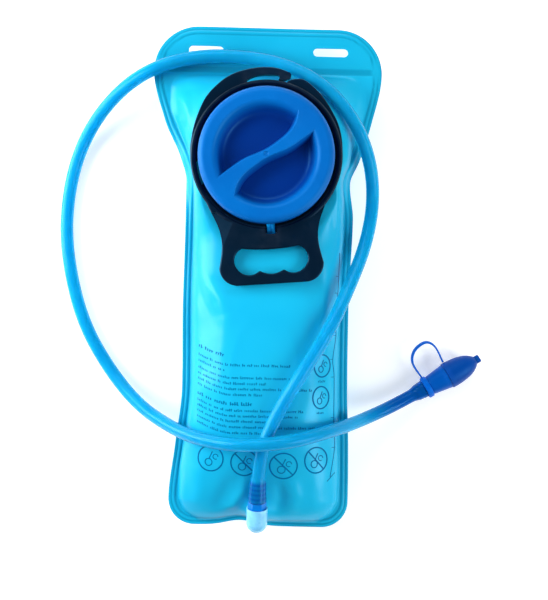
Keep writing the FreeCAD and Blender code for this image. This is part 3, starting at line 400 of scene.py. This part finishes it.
def segment_distance(x, y, a, b):
    """Distance from a segment, and the share of the way along it."""
    dx, dy = b[0] - a[0], b[1] - a[1]
    t = np.clip(((x - a[0]) * dx + (y - a[1]) * dy) / (dx * dx + dy * dy), 0, 1)
    return np.hypot(x - a[0] - t * dx, y - a[1] - t * dy), t


def crease_height(x, y, creases):
    """Height of all the creases together; each one fades out at its two ends."""
    total = np.zeros_like(x)
    for points, height, width in creases:
        length = len(points) - 1
        best = np.full_like(x, 1e9)
        along = np.zeros_like(x)
        for i in range(length):
            distance, t = segment_distance(x, y, points[i], points[i + 1])
            nearer = distance < best
            best = np.where(nearer, distance, best)
            along = np.where(nearer, (i + t) / length, along)
        total += height * bump(best, width) * np.sin(np.pi * np.clip(along, 0.04, 0.96)) ** 0.7
    return total


def seam_puckers(x, y, inset, phase):
    """Short gathers that run in from the weld where the film bends outwards."""
    wave = np.sin(y / 7.3 + phase) * np.sin(y / 17.0 + 1.3 * phase)
    wave = wave + 0.5 * np.sin(x / 6.1 + y / 29.0 + phase)
    return 0.75 * wave * bump(inset - 11.0, 8.0)


def film_height(x, y, front):
    """Distance of the film from the seam plane, creases included."""
    left, right = swell_at(y)
    middle, half = (left + right) / 2, (right - left) / 2
    t = np.clip(np.abs((x - middle) / half), 0, 1)
    height = curve_through(y, SWELL, 3 if front else 4)
    body = height * (1 - t ** curve_through(y, SWELL, 5)) ** curve_through(y, SWELL, 6)
    low_y, high_y = CREASE_ENDS
    inset = np.minimum(np.minimum(x - left, right - x), np.minimum(y - low_y, high_y - y))
    mask = smoothstep(inset, 0, 14)
    if front:
        r = lid_distance(x, y)
        beyond = smoothstep(r, LID_SEAT_RADIUS, LID_SEAT_RADIUS + SEAT_RUN)
        ceiling = LID_SEAT - SEAM_Z - FILM + SEAT_RISE * beyond
        body = np.minimum(body, ceiling) - 0.6 * bump(body - ceiling, 2.0)
        free = mask * smoothstep(r, LID_SEAT_RADIUS, LID_SEAT_RADIUS + 10)
        body = body + crease_height(x, y, FRONT_CREASES) * free
        middle_y, radius, rise = OUTLET_DOME
        body = body + rise * bump(np.hypot(x, y - middle_y), radius) * smoothstep(y, -189.5, -184)
        body = body + seam_puckers(x, y, inset, 0.4) * smoothstep(inset, 0, 5) * smoothstep(r, 57, 66)
    else:
        floor = SEAM_Z - FILM - GROUND_GAP
        body = body + seam_puckers(x, y, inset, 2.1) * smoothstep(inset, 0, 5)
        body = np.minimum(body, floor - 1.2 * bump(body - floor, 3.0))
    return np.maximum(body, 0)


def seam_wave(x, y):
    """Lift of the weld: under a millimetre nearly everywhere, and more inside the waist's edges."""
    wave = np.sin(y / 23.0 + x / 61.0) * 0.5 + 0.35 * np.sin(y / 11.0 - x / 19.0 + 1.0)
    middle, half, lift = WAIST
    inset = np.minimum(x - outline_x(y, 1), outline_x(y, 2) - x)
    return wave + lift * bump(y - middle, half) * smoothstep(inset, -0.5, 6) * (1 - smoothstep(inset, 8, 22))


def film_z(x, y):
    """Outer face of the front film in the object's frame."""
    return SEAM_Z + FILM + film_height(x, y, True) + seam_wave(x, y)


def film_rows():
    """Lines across the bag, close together at the two ends where the weld runs along them."""
    base = BASE_CORNER_Y - BASE_CORNER * np.sin(np.linspace(math.pi / 2, 0, 26))
    body = np.arange(-169, 151, 1.7)
    tab = np.concatenate([np.arange(151, 162, 0.8), np.arange(162.5, 166, 1.5)])
    top = TAB_CORNER_Y + TAB_CORNER * np.sin(np.linspace(0.31, math.pi / 2, 34))
    return np.concatenate([base, body, tab, top])


def film_grid():
    """The film's points, closer together at the sides of the swollen part than in its middle."""
    rows = film_rows()
    edge = np.linspace(0, 1, 12)[:-1]
    even = np.linspace(-1, 1, 97)
    inner = 0.55 * np.sin(even * math.pi / 2) + 0.45 * even
    left, right = swell_at(rows)
    out_left, out_right = outline_x(rows, 1), outline_x(rows, 2)
    middle, half = (left + right) / 2, (right - left) / 2
    xs = [out_left + (left - out_left) * e for e in edge]
    xs += [middle + half * t for t in inner]
    xs += [right + (out_right - right) * e for e in 1 - edge[::-1]]
    x = np.stack(xs, axis=1)
    return x, np.repeat(rows[:, None], x.shape[1], axis=1)


def edge_distance(x, y):
    """Distance of every point from the bag's outline."""
    ys = film_rows()
    loop = np.concatenate([
        np.stack([outline_x(ys, 1), ys], 1),
        np.stack([outline_x(ys, 2), ys], 1)[::-1],
    ])
    dense = []
    for a, b in zip(loop, np.roll(loop, -1, axis=0)):
        steps = max(int(np.hypot(*(b - a)) / OUTLINE_STEP), 1)
        dense.append(a + (b - a) * (np.arange(steps) / steps)[:, None])
    dense = np.concatenate(dense)
    flat = np.stack([x.ravel(), y.ravel()], 1)
    result = np.empty(len(flat))
    for k in range(0, len(flat), POINTS_AT_ONCE):
        part = flat[k:k + POINTS_AT_ONCE]
        result[k:k + POINTS_AT_ONCE] = np.sqrt(((part[:, None] - dense[None]) ** 2).sum(2).min(1))
    return result.reshape(x.shape)


def cross_weld(y, distance):
    """How much of the tab's cross weld there is at a point, 0 to 1."""
    low, high = TAB_WELD
    return smoothstep(y, low - 1, low) * (1 - smoothstep(y, high, high + 1)) * smoothstep(distance, 5.5, 9)


def weld_colour(y, distance):
    """How much of the weld's deeper colour a point has, 0 to 1."""
    weld = sum(bump(distance - line, WELD_MARK) for line in WELD_LINES)
    weld = np.maximum(weld, smoothstep(-distance, -1.0, -0.2) * 0.7)
    weld = np.maximum(weld, 0.8 * cross_weld(y, distance))
    weld = 0.85 * weld * (1 - 0.8 * bump(y - WAIST[0], WAIST[1]))
    return np.maximum(weld, TAB_TINT * smoothstep(y, TAB_WELD[1], TAB_WELD[1] + 1.5))


def weld_relief(y, distance):
    """Height of the weld's bead over its grooves."""
    place, half, rise = WELD_BEAD
    grooves = sum(bump(distance - line, WELD_GROOVE) for line in WELD_LINES)
    relief = rise * bump(distance - place, half) - WELD_DEPTH * grooves
    return relief - TAB_WELD_DEPTH * cross_weld(y, distance)


def inner_face_x(x, y):
    """The film's inner face is drawn in by the film's thickness where the bag swells."""
    left, right = swell_at(y)
    middle, half = (left + right) / 2, (right - left) / 2
    return np.where(np.abs(x - middle) < half, middle + (x - middle) * (half - FILM) / half, x)


def film_faces(rows, columns, front):
    """Faces of the outer skin, the inner skin and the rim that joins them."""
    n = rows * columns
    faces = grid_faces(rows, columns, flip=not front) + grid_faces(rows, columns, n, flip=front)
    rim = [(0, j) for j in range(columns)] + [(i, columns - 1) for i in range(1, rows)]
    rim += [(rows - 1, j) for j in range(columns - 2, -1, -1)] + [(i, 0) for i in range(rows - 2, 0, -1)]
    ring = [i * columns + j for i, j in rim]
    for a, b in zip(ring, ring[1:] + ring[:1]):
        quad = (b, a, a + n, b + n)
        faces.append(quad if front else quad[::-1])
    return faces


def make_film(name, front, material):
    """One of the bag's two films: a closed thin skin, with the slots and the neck hole cut out."""
    x, y = film_grid()
    height = film_height(x, y, front)
    wave = seam_wave(x, y)
    if not front:
        wave = wave * (1 - smoothstep(height, 10, 24))
    distance = edge_distance(x, y)
    weld = weld_colour(y, distance)
    sign = 1 if front else -1
    outer = SEAM_Z + sign * (FILM + height + weld_relief(y, distance)) + wave
    inner = SEAM_Z + sign * (SKIN_GAP + np.maximum(height - FILM * 0.2, 0) * 0.985) + wave
    inner_x = inner_face_x(x, y)
    pull_x, pull_half, pull = BASE_PULL
    y = y + pull * bump(x - pull_x, pull_half) * (1 - smoothstep(y, -188, -168))
    top = np.stack([x, y, outer], 2).reshape(-1, 3)
    low = np.stack([inner_x, y, inner], 2).reshape(-1, 3)
    film = new_piece(name, np.concatenate([top, low]), film_faces(*x.shape, front), material)
    store_value(film, "weld", np.tile(weld.ravel(), 2))
    tools = [slot_tool(-SLOT_X), slot_tool(SLOT_X)]
    if front:
        tools.append(neck_tool())
    cut(film, *tools)
    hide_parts("front_film" if front else "back_film")
    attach(film, "bag")


def neck_tool():
    ring = [(LID[0] + NECK_RADIUS * math.cos(a), LID[1] + NECK_RADIUS * math.sin(a))
            for a in np.linspace(0, 2 * math.pi, 97)[:-1]]
    return prism_tool(ring, *NECK_CUT)


def slot_tool(x):
    radius, straight = SLOT_WIDTH / 2, (SLOT_LENGTH - SLOT_WIDTH) / 2
    points = []
    for centre, start in ((straight, -math.pi / 2), (-straight, math.pi / 2)):
        for a in np.linspace(start, start + math.pi, 17):
            points.append((x + centre + radius * math.cos(a), SLOT_Y + radius * math.sin(a)))
    return prism_tool(points, *SLOT_CUT)


# ---- print on the film ---------------------------------------------------------------------------------
def ribbon(points, width):
    """A thin closed strip of ink that follows the film along a flat line; returns vertices and faces."""
    points = np.array(points, float)
    tangent = np.gradient(points, axis=0)
    tangent /= np.linalg.norm(tangent, axis=1)[:, None]
    side = np.stack([-tangent[:, 1], tangent[:, 0]], 1) * width / 2
    left, right = points + side, points - side
    rows = []
    high = INK_LIFT + INK_THICK
    for line, up in ((left, INK_LIFT), (right, INK_LIFT), (right, high), (left, high)):
        rows.append(np.column_stack([line, film_z(line[:, 0], line[:, 1]) + up]))
    vertices = np.stack(rows, 1).reshape(-1, 3)
    n = len(points)
    faces = grid_faces(n, 4, close=True)
    faces += [(3, 2, 1, 0), tuple(4 * (n - 1) + k for k in range(4))]
    return vertices, faces


def arc_points(centre, radius, start, end, steps):
    angles = np.radians(np.linspace(start, end, steps))
    return np.stack([centre[0] + radius * np.cos(angles), centre[1] + radius * np.sin(angles)], 1)


def line_points(a, b):
    """A straight stroke, in steps of about 1.5 mm so that it follows the film."""
    return np.linspace(a, b, max(int(math.dist(a, b) / 1.5), 1) + 1)


def text_row(x, y, width, size):
    """One row of stand-in lettering: short upright strokes grouped like words."""
    strokes = []
    end = x + width
    while x < end:
        for _ in range(int(rng.integers(2, 9))):
            if x >= end:
                break
            tall = size * (1.45 if rng.random() < 0.25 else 1.0)
            base = y + TEXT_LIFT * max(0.0, (TEXT_BEND - x) / (TEXT_BEND - TEXT_LEFT)) ** 1.5
            strokes.append((line_points((x, base), (x, base + tall)), 0.42 * size))
            if rng.random() < 0.6:
                level = base + size * rng.choice([0.12, 0.5, 0.9])
                strokes.append((line_points((x, level), (x + 0.6 * size, level)), 0.25 * size))
            x += 0.95 * size
        x += 0.9 * size
    return strokes


def sign_icon(centre, radius, crossed, squeeze):
    """A ring with a plain figure in it, struck through where crossed; squeeze narrows it."""
    x, y = centre
    strokes = [(arc_points(centre, radius, 0, 360, 72), 1.0)]
    if crossed:
        d = radius * math.sin(math.pi / 4)
        strokes.append((line_points((x - d, y + d), (x + d, y - d)), 1.0))
    strokes.append((arc_points((x - 0.15 * radius, y - 0.3 * radius), 0.28 * radius, 0, 360, 24), 0.7))
    strokes.append((line_points((x - 0.1 * radius, y), (x + 0.15 * radius, y + 0.55 * radius)), 0.7))
    strokes.append((arc_points((x + 0.4 * radius, y + 0.15 * radius), 0.2 * radius, 0, 300, 18), 0.6))
    return [(np.stack([x + (line[:, 0] - x) * squeeze, line[:, 1]], 1), width) for line, width in strokes]


def print_strokes():
    """Every stroke of the print, as points and width."""
    strokes = []
    for y, width, height in TEXT_ROWS:
        strokes += text_row(TEXT_LEFT, y, width, height)
    for centre, radius, crossed, squeeze in SIGNS:
        strokes += sign_icon(centre, radius, crossed, squeeze)
    for (x, y), radius, _, _ in SIGNS[:2]:
        strokes += text_row(x - CAPTION_WIDTH / 2, y - radius - CAPTION_DROP, CAPTION_WIDTH, CAPTION_TEXT)
    strokes.append((catmull(SCALE_LINE, 14), SCALE_WIDTH))
    strokes.append((line_points(*SCALE_FOOT), SCALE_WIDTH))
    for x, y in SCALE_LINE[1:-1]:
        strokes.append((line_points((x - 2.4, y), (x - 0.3, y)), TICK_WIDTH))
    return strokes


def make_print(material):
    marks = joined("film_print", [ribbon(*stroke) for stroke in print_strokes()], material, smooth=False)
    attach(marks, "bag")


# ---- hose, leash and tether ------------------------------------------------------------------------------
def hose_line():
    """Points along the hose's centreline, from a spline through the route."""
    points = [HOSE_START, HOSE_LEAD_IN] + HOSE_ROUTE + [HOSE_LEAD_OUT, HOSE_END]
    data = bpy.data.curves.new("hose_route", "CURVE")
    data.dimensions = "3D"
    data.resolution_u = 24
    spline = data.splines.new("NURBS")
    spline.points.add(len(points) - 1)
    for slot, point in zip(spline.points, points):
        slot.co = (*[c * MM for c in point], 1)
    spline.order_u = 3
    spline.use_endpoint_u = True
    route = bpy.data.objects.new("hose_route", data)
    bpy.context.scene.collection.objects.link(route)
    bpy.context.view_layer.update()
    mesh = bpy.data.meshes.new_from_object(route.evaluated_get(bpy.context.evaluated_depsgraph_get()))
    line = np.array([v.co for v in mesh.vertices], float)
    bpy.data.meshes.remove(mesh)
    bpy.data.objects.remove(route)
    bpy.data.curves.remove(data)
    return line


def even_steps(line, step):
    """The same line with its points evenly spread, and how far along it each of them is."""
    along = np.concatenate([[0], np.cumsum(np.linalg.norm(np.diff(line, axis=0), axis=1))])
    where = np.linspace(0, along[-1], int(round(along[-1] / step)) + 1)
    return np.stack([np.interp(where, along, line[:, k]) for k in range(3)], 1), where


def sideways_along(line):
    """Two sideways directions at every point, turning as little as possible."""
    tangent = np.gradient(line, axis=0)
    tangent /= np.linalg.norm(tangent, axis=1)[:, None]
    first = np.cross(tangent[0], (0, 0, 1.0))
    side = [first / np.linalg.norm(first)]
    for t in tangent[1:]:
        s = side[-1] - t * np.dot(side[-1], t)
        side.append(s / np.linalg.norm(s))
    side = np.array(side)
    return side, np.cross(tangent, side)


def swept_tube(name, line, outer, inner, material):
    """A tube with a bore along a line in millimetres; outer and inner are radii at each point."""
    n, sides = len(line), TUBE_SIDES
    side, up = sideways_along(line)
    angles = np.linspace(0, 2 * math.pi, sides + 1)[:-1]
    ring = side[:, None] * np.cos(angles)[None, :, None] + up[:, None] * np.sin(angles)[None, :, None]
    wall = line[:, None] + ring * outer[:, None, None]
    bore = line[:, None] + ring * inner[:, None, None]
    vertices = np.concatenate([wall.reshape(-1, 3), bore.reshape(-1, 3)])
    faces = grid_faces(n, sides, close=True) + grid_faces(n, sides, n * sides, flip=True, close=True)
    for row, flip in ((0, False), (n - 1, True)):
        for j in range(sides):
            k = (j + 1) % sides
            a, b = row * sides + j, row * sides + k
            quad = (b, a, a + n * sides, b + n * sides)
            faces.append(quad[::-1] if flip else quad)
    return new_piece(name, vertices, faces, material)


def table_value(x, table):
    return np.interp(x, [row[0] for row in table], [row[1] for row in table])


def paint_barbs_and_valve_shade(hose, along):
    """Mark the two dark stretches of the hose: at the outlet the barbed stem that fills it, at the valve the
    stem and then a longer painted shade.
    """
    rings = 0.78 + 0.22 * np.cos(2 * math.pi * along / BARB_PITCH)
    outlet = (1 - smoothstep(along, *OUTLET_STEM)) * rings
    # at the valve end: the stem for the first stretch, then painted shade fading out along the hose
    valve = 1 - smoothstep(along[-1] - along, *VALVE_STEM_AND_PAINTED_SHADE)
    store_value(hose, "barb_and_painted_shade", np.tile(np.repeat(np.maximum(outlet, valve), TUBE_SIDES), 2))


def make_hose(material):
    """The hose: a tube along its spline, wider over the barbs at both ends."""
    line, along = even_steps(hose_line() / MM, TUBE_STEP)
    outlet = table_value(along, OUTLET_CUFF)
    valve = table_value(along[-1] - along, VALVE_CUFF)
    outer = np.maximum(outlet, valve)
    inner = np.where(outer > HOSE_RADIUS + 0.6, outer - 1.5, HOSE_BORE + (outer - HOSE_RADIUS) * 0.4)
    hose = swept_tube("drinking_hose_tube", line, outer, inner, material)
    paint_barbs_and_valve_shade(hose, along)
    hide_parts("drinking_hose")
    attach(hose, "hose")


def quarter_rounds(centres, radius, steps):
    """The four rounded corners of a section, counter-clockwise from the one at its high right."""
    points = []
    for quarter, (x, y) in enumerate(centres):
        for a in np.radians(np.linspace(90 * quarter, 90 * quarter + 90, steps)):
            points.append((x + radius * math.cos(a), y + radius * math.sin(a)))
    return points


def strap(line, wide, width, thick):
    """A closed rounded strip along line; wide is the direction of its width at each point."""
    tangent = np.gradient(line, axis=0)
    tangent /= np.linalg.norm(tangent, axis=1)[:, None]
    across = np.cross(tangent, wide)
    across /= np.linalg.norm(across, axis=1)[:, None]
    radius = 0.9 * min(width, thick) / 2
    x, y = width / 2 - radius, thick / 2 - radius
    section = np.array(quarter_rounds([(x, y), (-x, y), (-x, -y), (x, -y)], radius, 4))
    rows = line[:, None] + wide[:, None] * section[None, :, :1] + across[:, None] * section[None, :, 1:]
    n, m = len(line), len(section)
    faces = grid_faces(n, m, close=True, flip=True)
    faces += [tuple(range(m)), tuple(range((n - 1) * m, n * m))[::-1]]
    return rows.reshape(-1, 3), faces


def lathe(profile, steps):
    """A closed ring from a closed outline of (radius, z) points, counter-clockwise."""
    profile = np.array(profile, float)
    m = len(profile)
    angles = np.linspace(0, 2 * math.pi, steps + 1)[:-1]
    rows = np.stack([
        np.cos(angles)[:, None] * profile[None, :, 0],
        np.sin(angles)[:, None] * profile[None, :, 0],
        np.repeat(profile[None, :, 1], steps, 0),
    ], 2)
    faces = []
    for i in range(steps):
        for j in range(m):
            a, b = i * m + j, i * m + (j + 1) % m
            c, d = ((i + 1) % steps) * m + (j + 1) % m, ((i + 1) % steps) * m + j
            faces.append((d, c, b, a)[::-1])
    return rows.reshape(-1, 3), faces


def round_outline(low_r, high_r, low_z, high_z, radius):
    """The section of a ring: a rectangle of (radius, z) points with rounded corners."""
    inside, outside = low_r + radius, high_r - radius
    low, high = low_z + radius, high_z - radius
    return quarter_rounds([(outside, high), (inside, high), (inside, low), (outside, low)], radius, 5)


def turned_xy(points, degrees, origin):
    a = math.radians(degrees)
    p = np.array(points, float)
    x = origin[0] + p[:, 0] * math.cos(a) - p[:, 1] * math.sin(a)
    y = origin[1] + p[:, 0] * math.sin(a) + p[:, 1] * math.cos(a)
    return np.stack([x, y, p[:, 2]], 1)


def make_leash(material):
    """Ring round the lid and the short strap down through the plate's hole."""
    ring = lathe(round_outline(*LEASH_RING), 120)
    line = catmull([(0, y, z) for y, z in LEASH_TAIL], 8)
    flat = np.repeat([[1.0, 0, 0]], len(line), 0)
    ribs = [strap(line + np.array([shift, 0, 0]), flat, *LEASH_RIB) for shift in (-LEASH_RIB_X, LEASH_RIB_X)]
    web = strap(line - np.array([0, 0, LEASH_WEB_DROP]), flat, *LEASH_WEB)
    half, y, z = LEASH_BAR_PLACE
    bar_line = np.linspace((-half, y, z), (half, y, z), 15)
    bar = strap(bar_line, np.repeat([[0, 1.0, 0]], len(bar_line), 0), *LEASH_BAR)
    parts = [(turned_xy(v, LID_TURN, LID), f) for v, f in (ring, *ribs, web, bar)]
    leash = joined("lid_leash", parts, material)
    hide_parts("cap_leash")
    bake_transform(leash)


def valve_axis():
    a = math.radians(VALVE_ANGLE)
    return np.array([math.cos(a), math.sin(a), 0.0])


def make_tether(material):
    """Collar in the valve's groove and the thin strap looping to the dust cap."""
    axis = valve_axis()
    side = np.array([-axis[1], axis[0], 0])
    up = np.array([0, 0, 1.0])
    origin = np.array(VALVE_COLLAR)
    ring, ring_faces = lathe(round_outline(*TETHER_RING), 72)
    ring = origin + ring[:, :1] * side + ring[:, 1:2] * up * -1 + ring[:, 2:] * axis
    root = origin + side * TETHER_ROOT
    tip = origin + axis * TETHER_TIP[0] + side * TETHER_TIP[1]
    line = catmull([root] + [(x, y, VALVE_COLLAR[2]) for x, y in TETHER_LOOP] + [tip], 16)
    tilt = np.radians(TETHER_TILT) * np.sin(np.linspace(0, math.pi, len(line))) ** 2
    heading = np.gradient(line, axis=0)
    heading /= np.linalg.norm(heading, axis=1)[:, None]
    outward = np.cross(heading, up)
    tape = strap(line, up * np.cos(tilt)[:, None] + outward * np.sin(tilt)[:, None], *TETHER_TAPE)
    tether = joined("dust_cap_tether", [(ring, ring_faces), tape], material)
    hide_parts("cap_tether")
    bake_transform(tether)


# ---- materials -----------------------------------------------------------------------------------------
class Look:
    """A procedural material under construction."""

    def __init__(self, name):
        self.material = bpy.data.materials.new(name)
        self.material.use_nodes = True
        self.nodes = self.material.node_tree.nodes
        self.links = self.material.node_tree.links
        self.shader = self.nodes["Principled BSDF"]
        self.output = self.nodes["Material Output"]
        self.place = self.nodes.new("ShaderNodeTexCoord").outputs["Object"]

    def set(self, **values):
        """Set the shader's own sockets; an underscore in a name stands for a space."""
        for key, value in values.items():
            self.shader.inputs[key.replace("_", " ")].default_value = value

    def noise(self, scale, detail):
        node = self.nodes.new("ShaderNodeTexNoise")
        node.inputs["Scale"].default_value = scale
        node.inputs["Detail"].default_value = detail
        self.links.new(self.place, node.inputs["Vector"])
        return node.outputs["Fac"]

    def spread(self, value, low, high, from_low=0.3, from_high=0.7):
        """Map a value onto a new range; the first range suits noise, which seldom leaves it."""
        node = self.nodes.new("ShaderNodeMapRange")
        node.inputs["From Min"].default_value = from_low
        node.inputs["From Max"].default_value = from_high
        node.inputs["To Min"].default_value = low
        node.inputs["To Max"].default_value = high
        self.links.new(value, node.inputs["Value"])
        return node.outputs["Result"]

    def fill(self, socket, value):
        """Link a node's output to a socket, or set the socket to a number or a colour."""
        if isinstance(value, bpy.types.NodeSocket):
            self.links.new(value, socket)
        elif isinstance(value, tuple) and len(value) == 3:
            socket.default_value = (*value, 1)
        else:
            socket.default_value = value

    def color(self, value):
        self.fill(self.shader.inputs["Base Color"], value)

    def roughness(self, value):
        self.fill(self.shader.inputs["Roughness"], value)

    def relief(self, *layers):
        """Bump layers as (value, strength, distance in mm)."""
        normal = None
        for value, strength, distance in layers:
            node = self.nodes.new("ShaderNodeBump")
            node.inputs["Strength"].default_value = strength
            node.inputs["Distance"].default_value = distance * MM
            self.links.new(value, node.inputs["Height"])
            if normal is not None:
                self.links.new(normal, node.inputs["Normal"])
            normal = node.outputs["Normal"]
        self.links.new(normal, self.shader.inputs["Normal"])

    def attribute(self, name):
        node = self.nodes.new("ShaderNodeAttribute")
        node.attribute_name = name
        return node.outputs["Fac"]

    def height(self):
        """Height in the object's own frame, in metres."""
        node = self.nodes.new("ShaderNodeSeparateXYZ")
        self.links.new(self.place, node.inputs["Vector"])
        return node.outputs["Z"]

    def edges(self):
        """How sharp an outward edge is, 0 to 1."""
        node = self.nodes.new("ShaderNodeNewGeometry")
        return self.spread(node.outputs["Pointiness"], 0, 1, 0.5, 0.58)


def mix_color(look, factor, a, b):
    """Mix two colours: 0 is the factor's socket of a Mix node, 6, 7 and 2 are its colour sockets."""
    node = look.nodes.new("ShaderNodeMix")
    node.data_type = "RGBA"
    look.fill(node.inputs[0], factor)
    look.fill(node.inputs[6], a)
    look.fill(node.inputs[7], b)
    return node.outputs[2]


def film_look():
    """Glossy film with cloudy colour, deeper on the welds, that lets some light through."""
    look = Look("bag_film")
    cloud = look.spread(look.noise(14, 2), 0, 1)
    body = mix_color(look, cloud, *FILM_TONES)
    tinted = mix_color(look, look.attribute("weld"), body, WELD_TONE)
    look.color(tinted)
    look.roughness(look.spread(look.noise(60, 3), 0.30, 0.44))
    look.relief((look.noise(26, 2), 0.35, 1.2), (look.noise(420, 4), 0.10, 0.15))
    look.set(Specular_IOR_Level=0.5, IOR=1.49, Specular_Tint=BLUE_GLINT)
    look.set(Coat_Weight=0.25, Coat_Roughness=0.22)
    through = look.nodes.new("ShaderNodeBsdfTranslucent")
    look.links.new(tinted, through.inputs["Color"])
    share = look.nodes.new("ShaderNodeMixShader")
    share.inputs["Fac"].default_value = FILM_GLOW
    look.links.new(look.shader.outputs["BSDF"], share.inputs[1])
    look.links.new(through.outputs["BSDF"], share.inputs[2])
    look.links.new(share.outputs["Shader"], look.output.inputs["Surface"])
    return look.material


def hose_look():
    """Half clear tube, deeper where a stem fills it and where painted shade lies on it before the valve."""
    look = Look("hose_tube")
    clear = mix_color(look, look.spread(look.noise(90, 3), 0, 1), *HOSE_TONES)
    # darker where the stems show through, and painted shade on the hose before the valve
    look.color(mix_color(look, look.attribute("barb_and_painted_shade"), clear, BARB_AND_PAINTED_SHADE_TONE))
    look.roughness(look.spread(look.noise(150, 3), 0.16, 0.26))
    look.relief((look.noise(70, 2), 0.05, 0.4), (look.noise(900, 2), 0.03, 0.05))
    look.set(Transmission_Weight=0.6, IOR=1.32, Specular_IOR_Level=0.4, Specular_Tint=BLUE_GLINT)
    look.set(Coat_Weight=0.05, Coat_Roughness=0.1)
    return look.material


def plastic(name, tones, rough, grain=700.0, depth=0.12, painted_hollow_shade=None, **constants):
    """Moulded plastic: slow colour drift, fine grain, uneven gloss, worn edges, and painted shade that
    deepens the colour low in hollows.
    """
    look = Look(name)
    body = mix_color(look, look.spread(look.noise(24, 3), 0, 1), *tones)
    if painted_hollow_shade is not None:
        painted_shade_color, low, high = painted_hollow_shade
        # painted shade: below the given heights the colour turns to the darker one, standing in for the
        # shade in the hollow
        body = mix_color(look, look.spread(look.height(), 1, 0, low * MM, high * MM), body, painted_shade_color)
    worn = tuple(min(1.0, 1.25 * c + 0.01) for c in tones[1])
    edge = look.nodes.new("ShaderNodeMath")
    edge.operation = "MULTIPLY"
    look.links.new(look.edges(), edge.inputs[0])
    look.links.new(look.spread(look.noise(160, 4), 0, 0.7), edge.inputs[1])
    look.color(mix_color(look, edge.outputs["Value"], body, worn))
    look.roughness(look.spread(look.noise(45, 4), *rough))
    look.relief((look.noise(grain, 2), depth, 0.08), (look.noise(38, 2), 0.15, 0.35))
    look.set(**constants)
    return look.material


def paint_nodes():
    """One look for each CAD node that stays in the picture."""
    looks = {
        # the lid's bowls get painted shade, darker towards their floors
        "screw_cap": plastic("blue_lid", LID_TONES, (0.36, 0.48), 500, 0.06, LID_BOWL_PAINTED_SHADE,
                             Specular_IOR_Level=0.35, Specular_Tint=BLUE_GLINT),
        "handle_ring": plastic("black_ring", RING_TONES, (0.32, 0.46), 620, 0.14,
                               Specular_IOR_Level=0.5, Specular_Tint=NAVY_GLINT),
        "neck_collar": plastic("neck_plastic", NECK_TONES, (0.32, 0.46)),
        "cap_gasket": plastic("gasket_silicone", GASKET_TONES, (0.42, 0.56),
                              Subsurface_Weight=0.2, Subsurface_Radius=(0.002, 0.002, 0.002)),
        "outlet_port": plastic("milky_elbow", ELBOW_TONES, (0.24, 0.36), 480, 0.06, Coat_Weight=0.1,
                               Subsurface_Weight=0.55, Subsurface_Radius=(0.004, 0.006, 0.008)),
        "hose_connector": plastic("blue_fitting", FITTING_TONES, (0.22, 0.36), Specular_Tint=BLUE_GLINT),
        "valve_body": plastic("valve_blue", VALVE_TONES, (0.26, 0.40), 640, 0.14,
                              Specular_IOR_Level=0.3, Specular_Tint=NAVY_GLINT),
        "dust_cap": plastic("dust_cap_rubber", DUST_CAP_TONES, (0.34, 0.50), 520, 0.18,
                            Specular_IOR_Level=0.3, Specular_Tint=NAVY_GLINT),
        "bite_nozzle": plastic("bite_silicone", NOZZLE_TONES, (0.38, 0.52)),
        "connector_o_ring": plastic("seal_rubber", SEAL_TONES, (0.5, 0.66)),
    }
    for node, look in looks.items():
        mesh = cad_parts[node].data
        mesh.materials.clear()
        mesh.materials.append(look)


# ---- studio ----------------------------------------------------------------------------------------------
def make_camera():
    data = bpy.data.cameras.new("camera")
    data.sensor_fit = "VERTICAL"
    data.sensor_height = CAMERA_SENSOR
    data.lens = CAMERA_LENS
    camera = bpy.data.objects.new("camera", data)
    camera.location = CAMERA_PLACE
    camera.rotation_euler = (0, 0, math.radians(CAMERA_TURN))
    bpy.context.scene.collection.objects.link(camera)
    bpy.context.scene.camera = camera


def area_light(name, place, target, size, power):
    data = bpy.data.lights.new(name, "AREA")
    data.shape = "RECTANGLE"
    data.size, data.size_y = size
    data.energy = power
    light = bpy.data.objects.new(name, data)
    light.location = place
    light.rotation_euler = (Vector(target) - Vector(place)).to_track_quat("-Z", "Y").to_euler()
    bpy.context.scene.collection.objects.link(light)


def make_studio():
    look = Look("studio_floor")
    look.color(mix_color(look, look.spread(look.noise(3, 2), 0, 1), *FLOOR_TONES))
    look.roughness(0.7)
    look.relief((look.noise(60, 2), 0.05, 0.2))
    look.set(Emission_Color=(1, 1, 1, 1), Emission_Strength=FLOOR_GLOW)
    corners = [(x * FLOOR_HALF / MM, y * FLOOR_HALF / MM, FLOOR_Z / MM)
               for x, y in ((-1, -1), (1, -1), (1, 1), (-1, 1))]
    floor = new_piece("floor", corners, [(0, 1, 2, 3)], look.material, smooth=False)
    for light in LIGHTS:
        area_light(*light)
    world = bpy.data.worlds.new("studio")
    world.use_nodes = True
    sky = world.node_tree.nodes["Background"]
    sky.inputs["Color"].default_value = SKY_COLOR
    sky.inputs["Strength"].default_value = SKY_STRENGTH
    bpy.context.scene.world = world
    bpy.context.scene.view_settings.view_transform = "Standard"


def main():
    make_camera()
    make_hose(hose_look())
    film = film_look()
    for name, front in (("bag_front_film", True), ("bag_back_film", False)):
        make_film(name, front, film)
    make_print(plastic("print_ink", INK_TONES, (0.45, 0.6),
                       Specular_IOR_Level=0.15, Specular_Tint=NAVY_GLINT))
    make_leash(plastic("leash_rubber", LEASH_TONES, (0.36, 0.50), 520, 0.16, Specular_Tint=BLUE_GLINT))
    make_tether(plastic("tether_rubber", TETHER_TONES, (0.34, 0.48), 520, 0.16,
                        Specular_IOR_Level=0.3, Specular_Tint=NAVY_GLINT))
    paint_nodes()
    make_studio()


main()
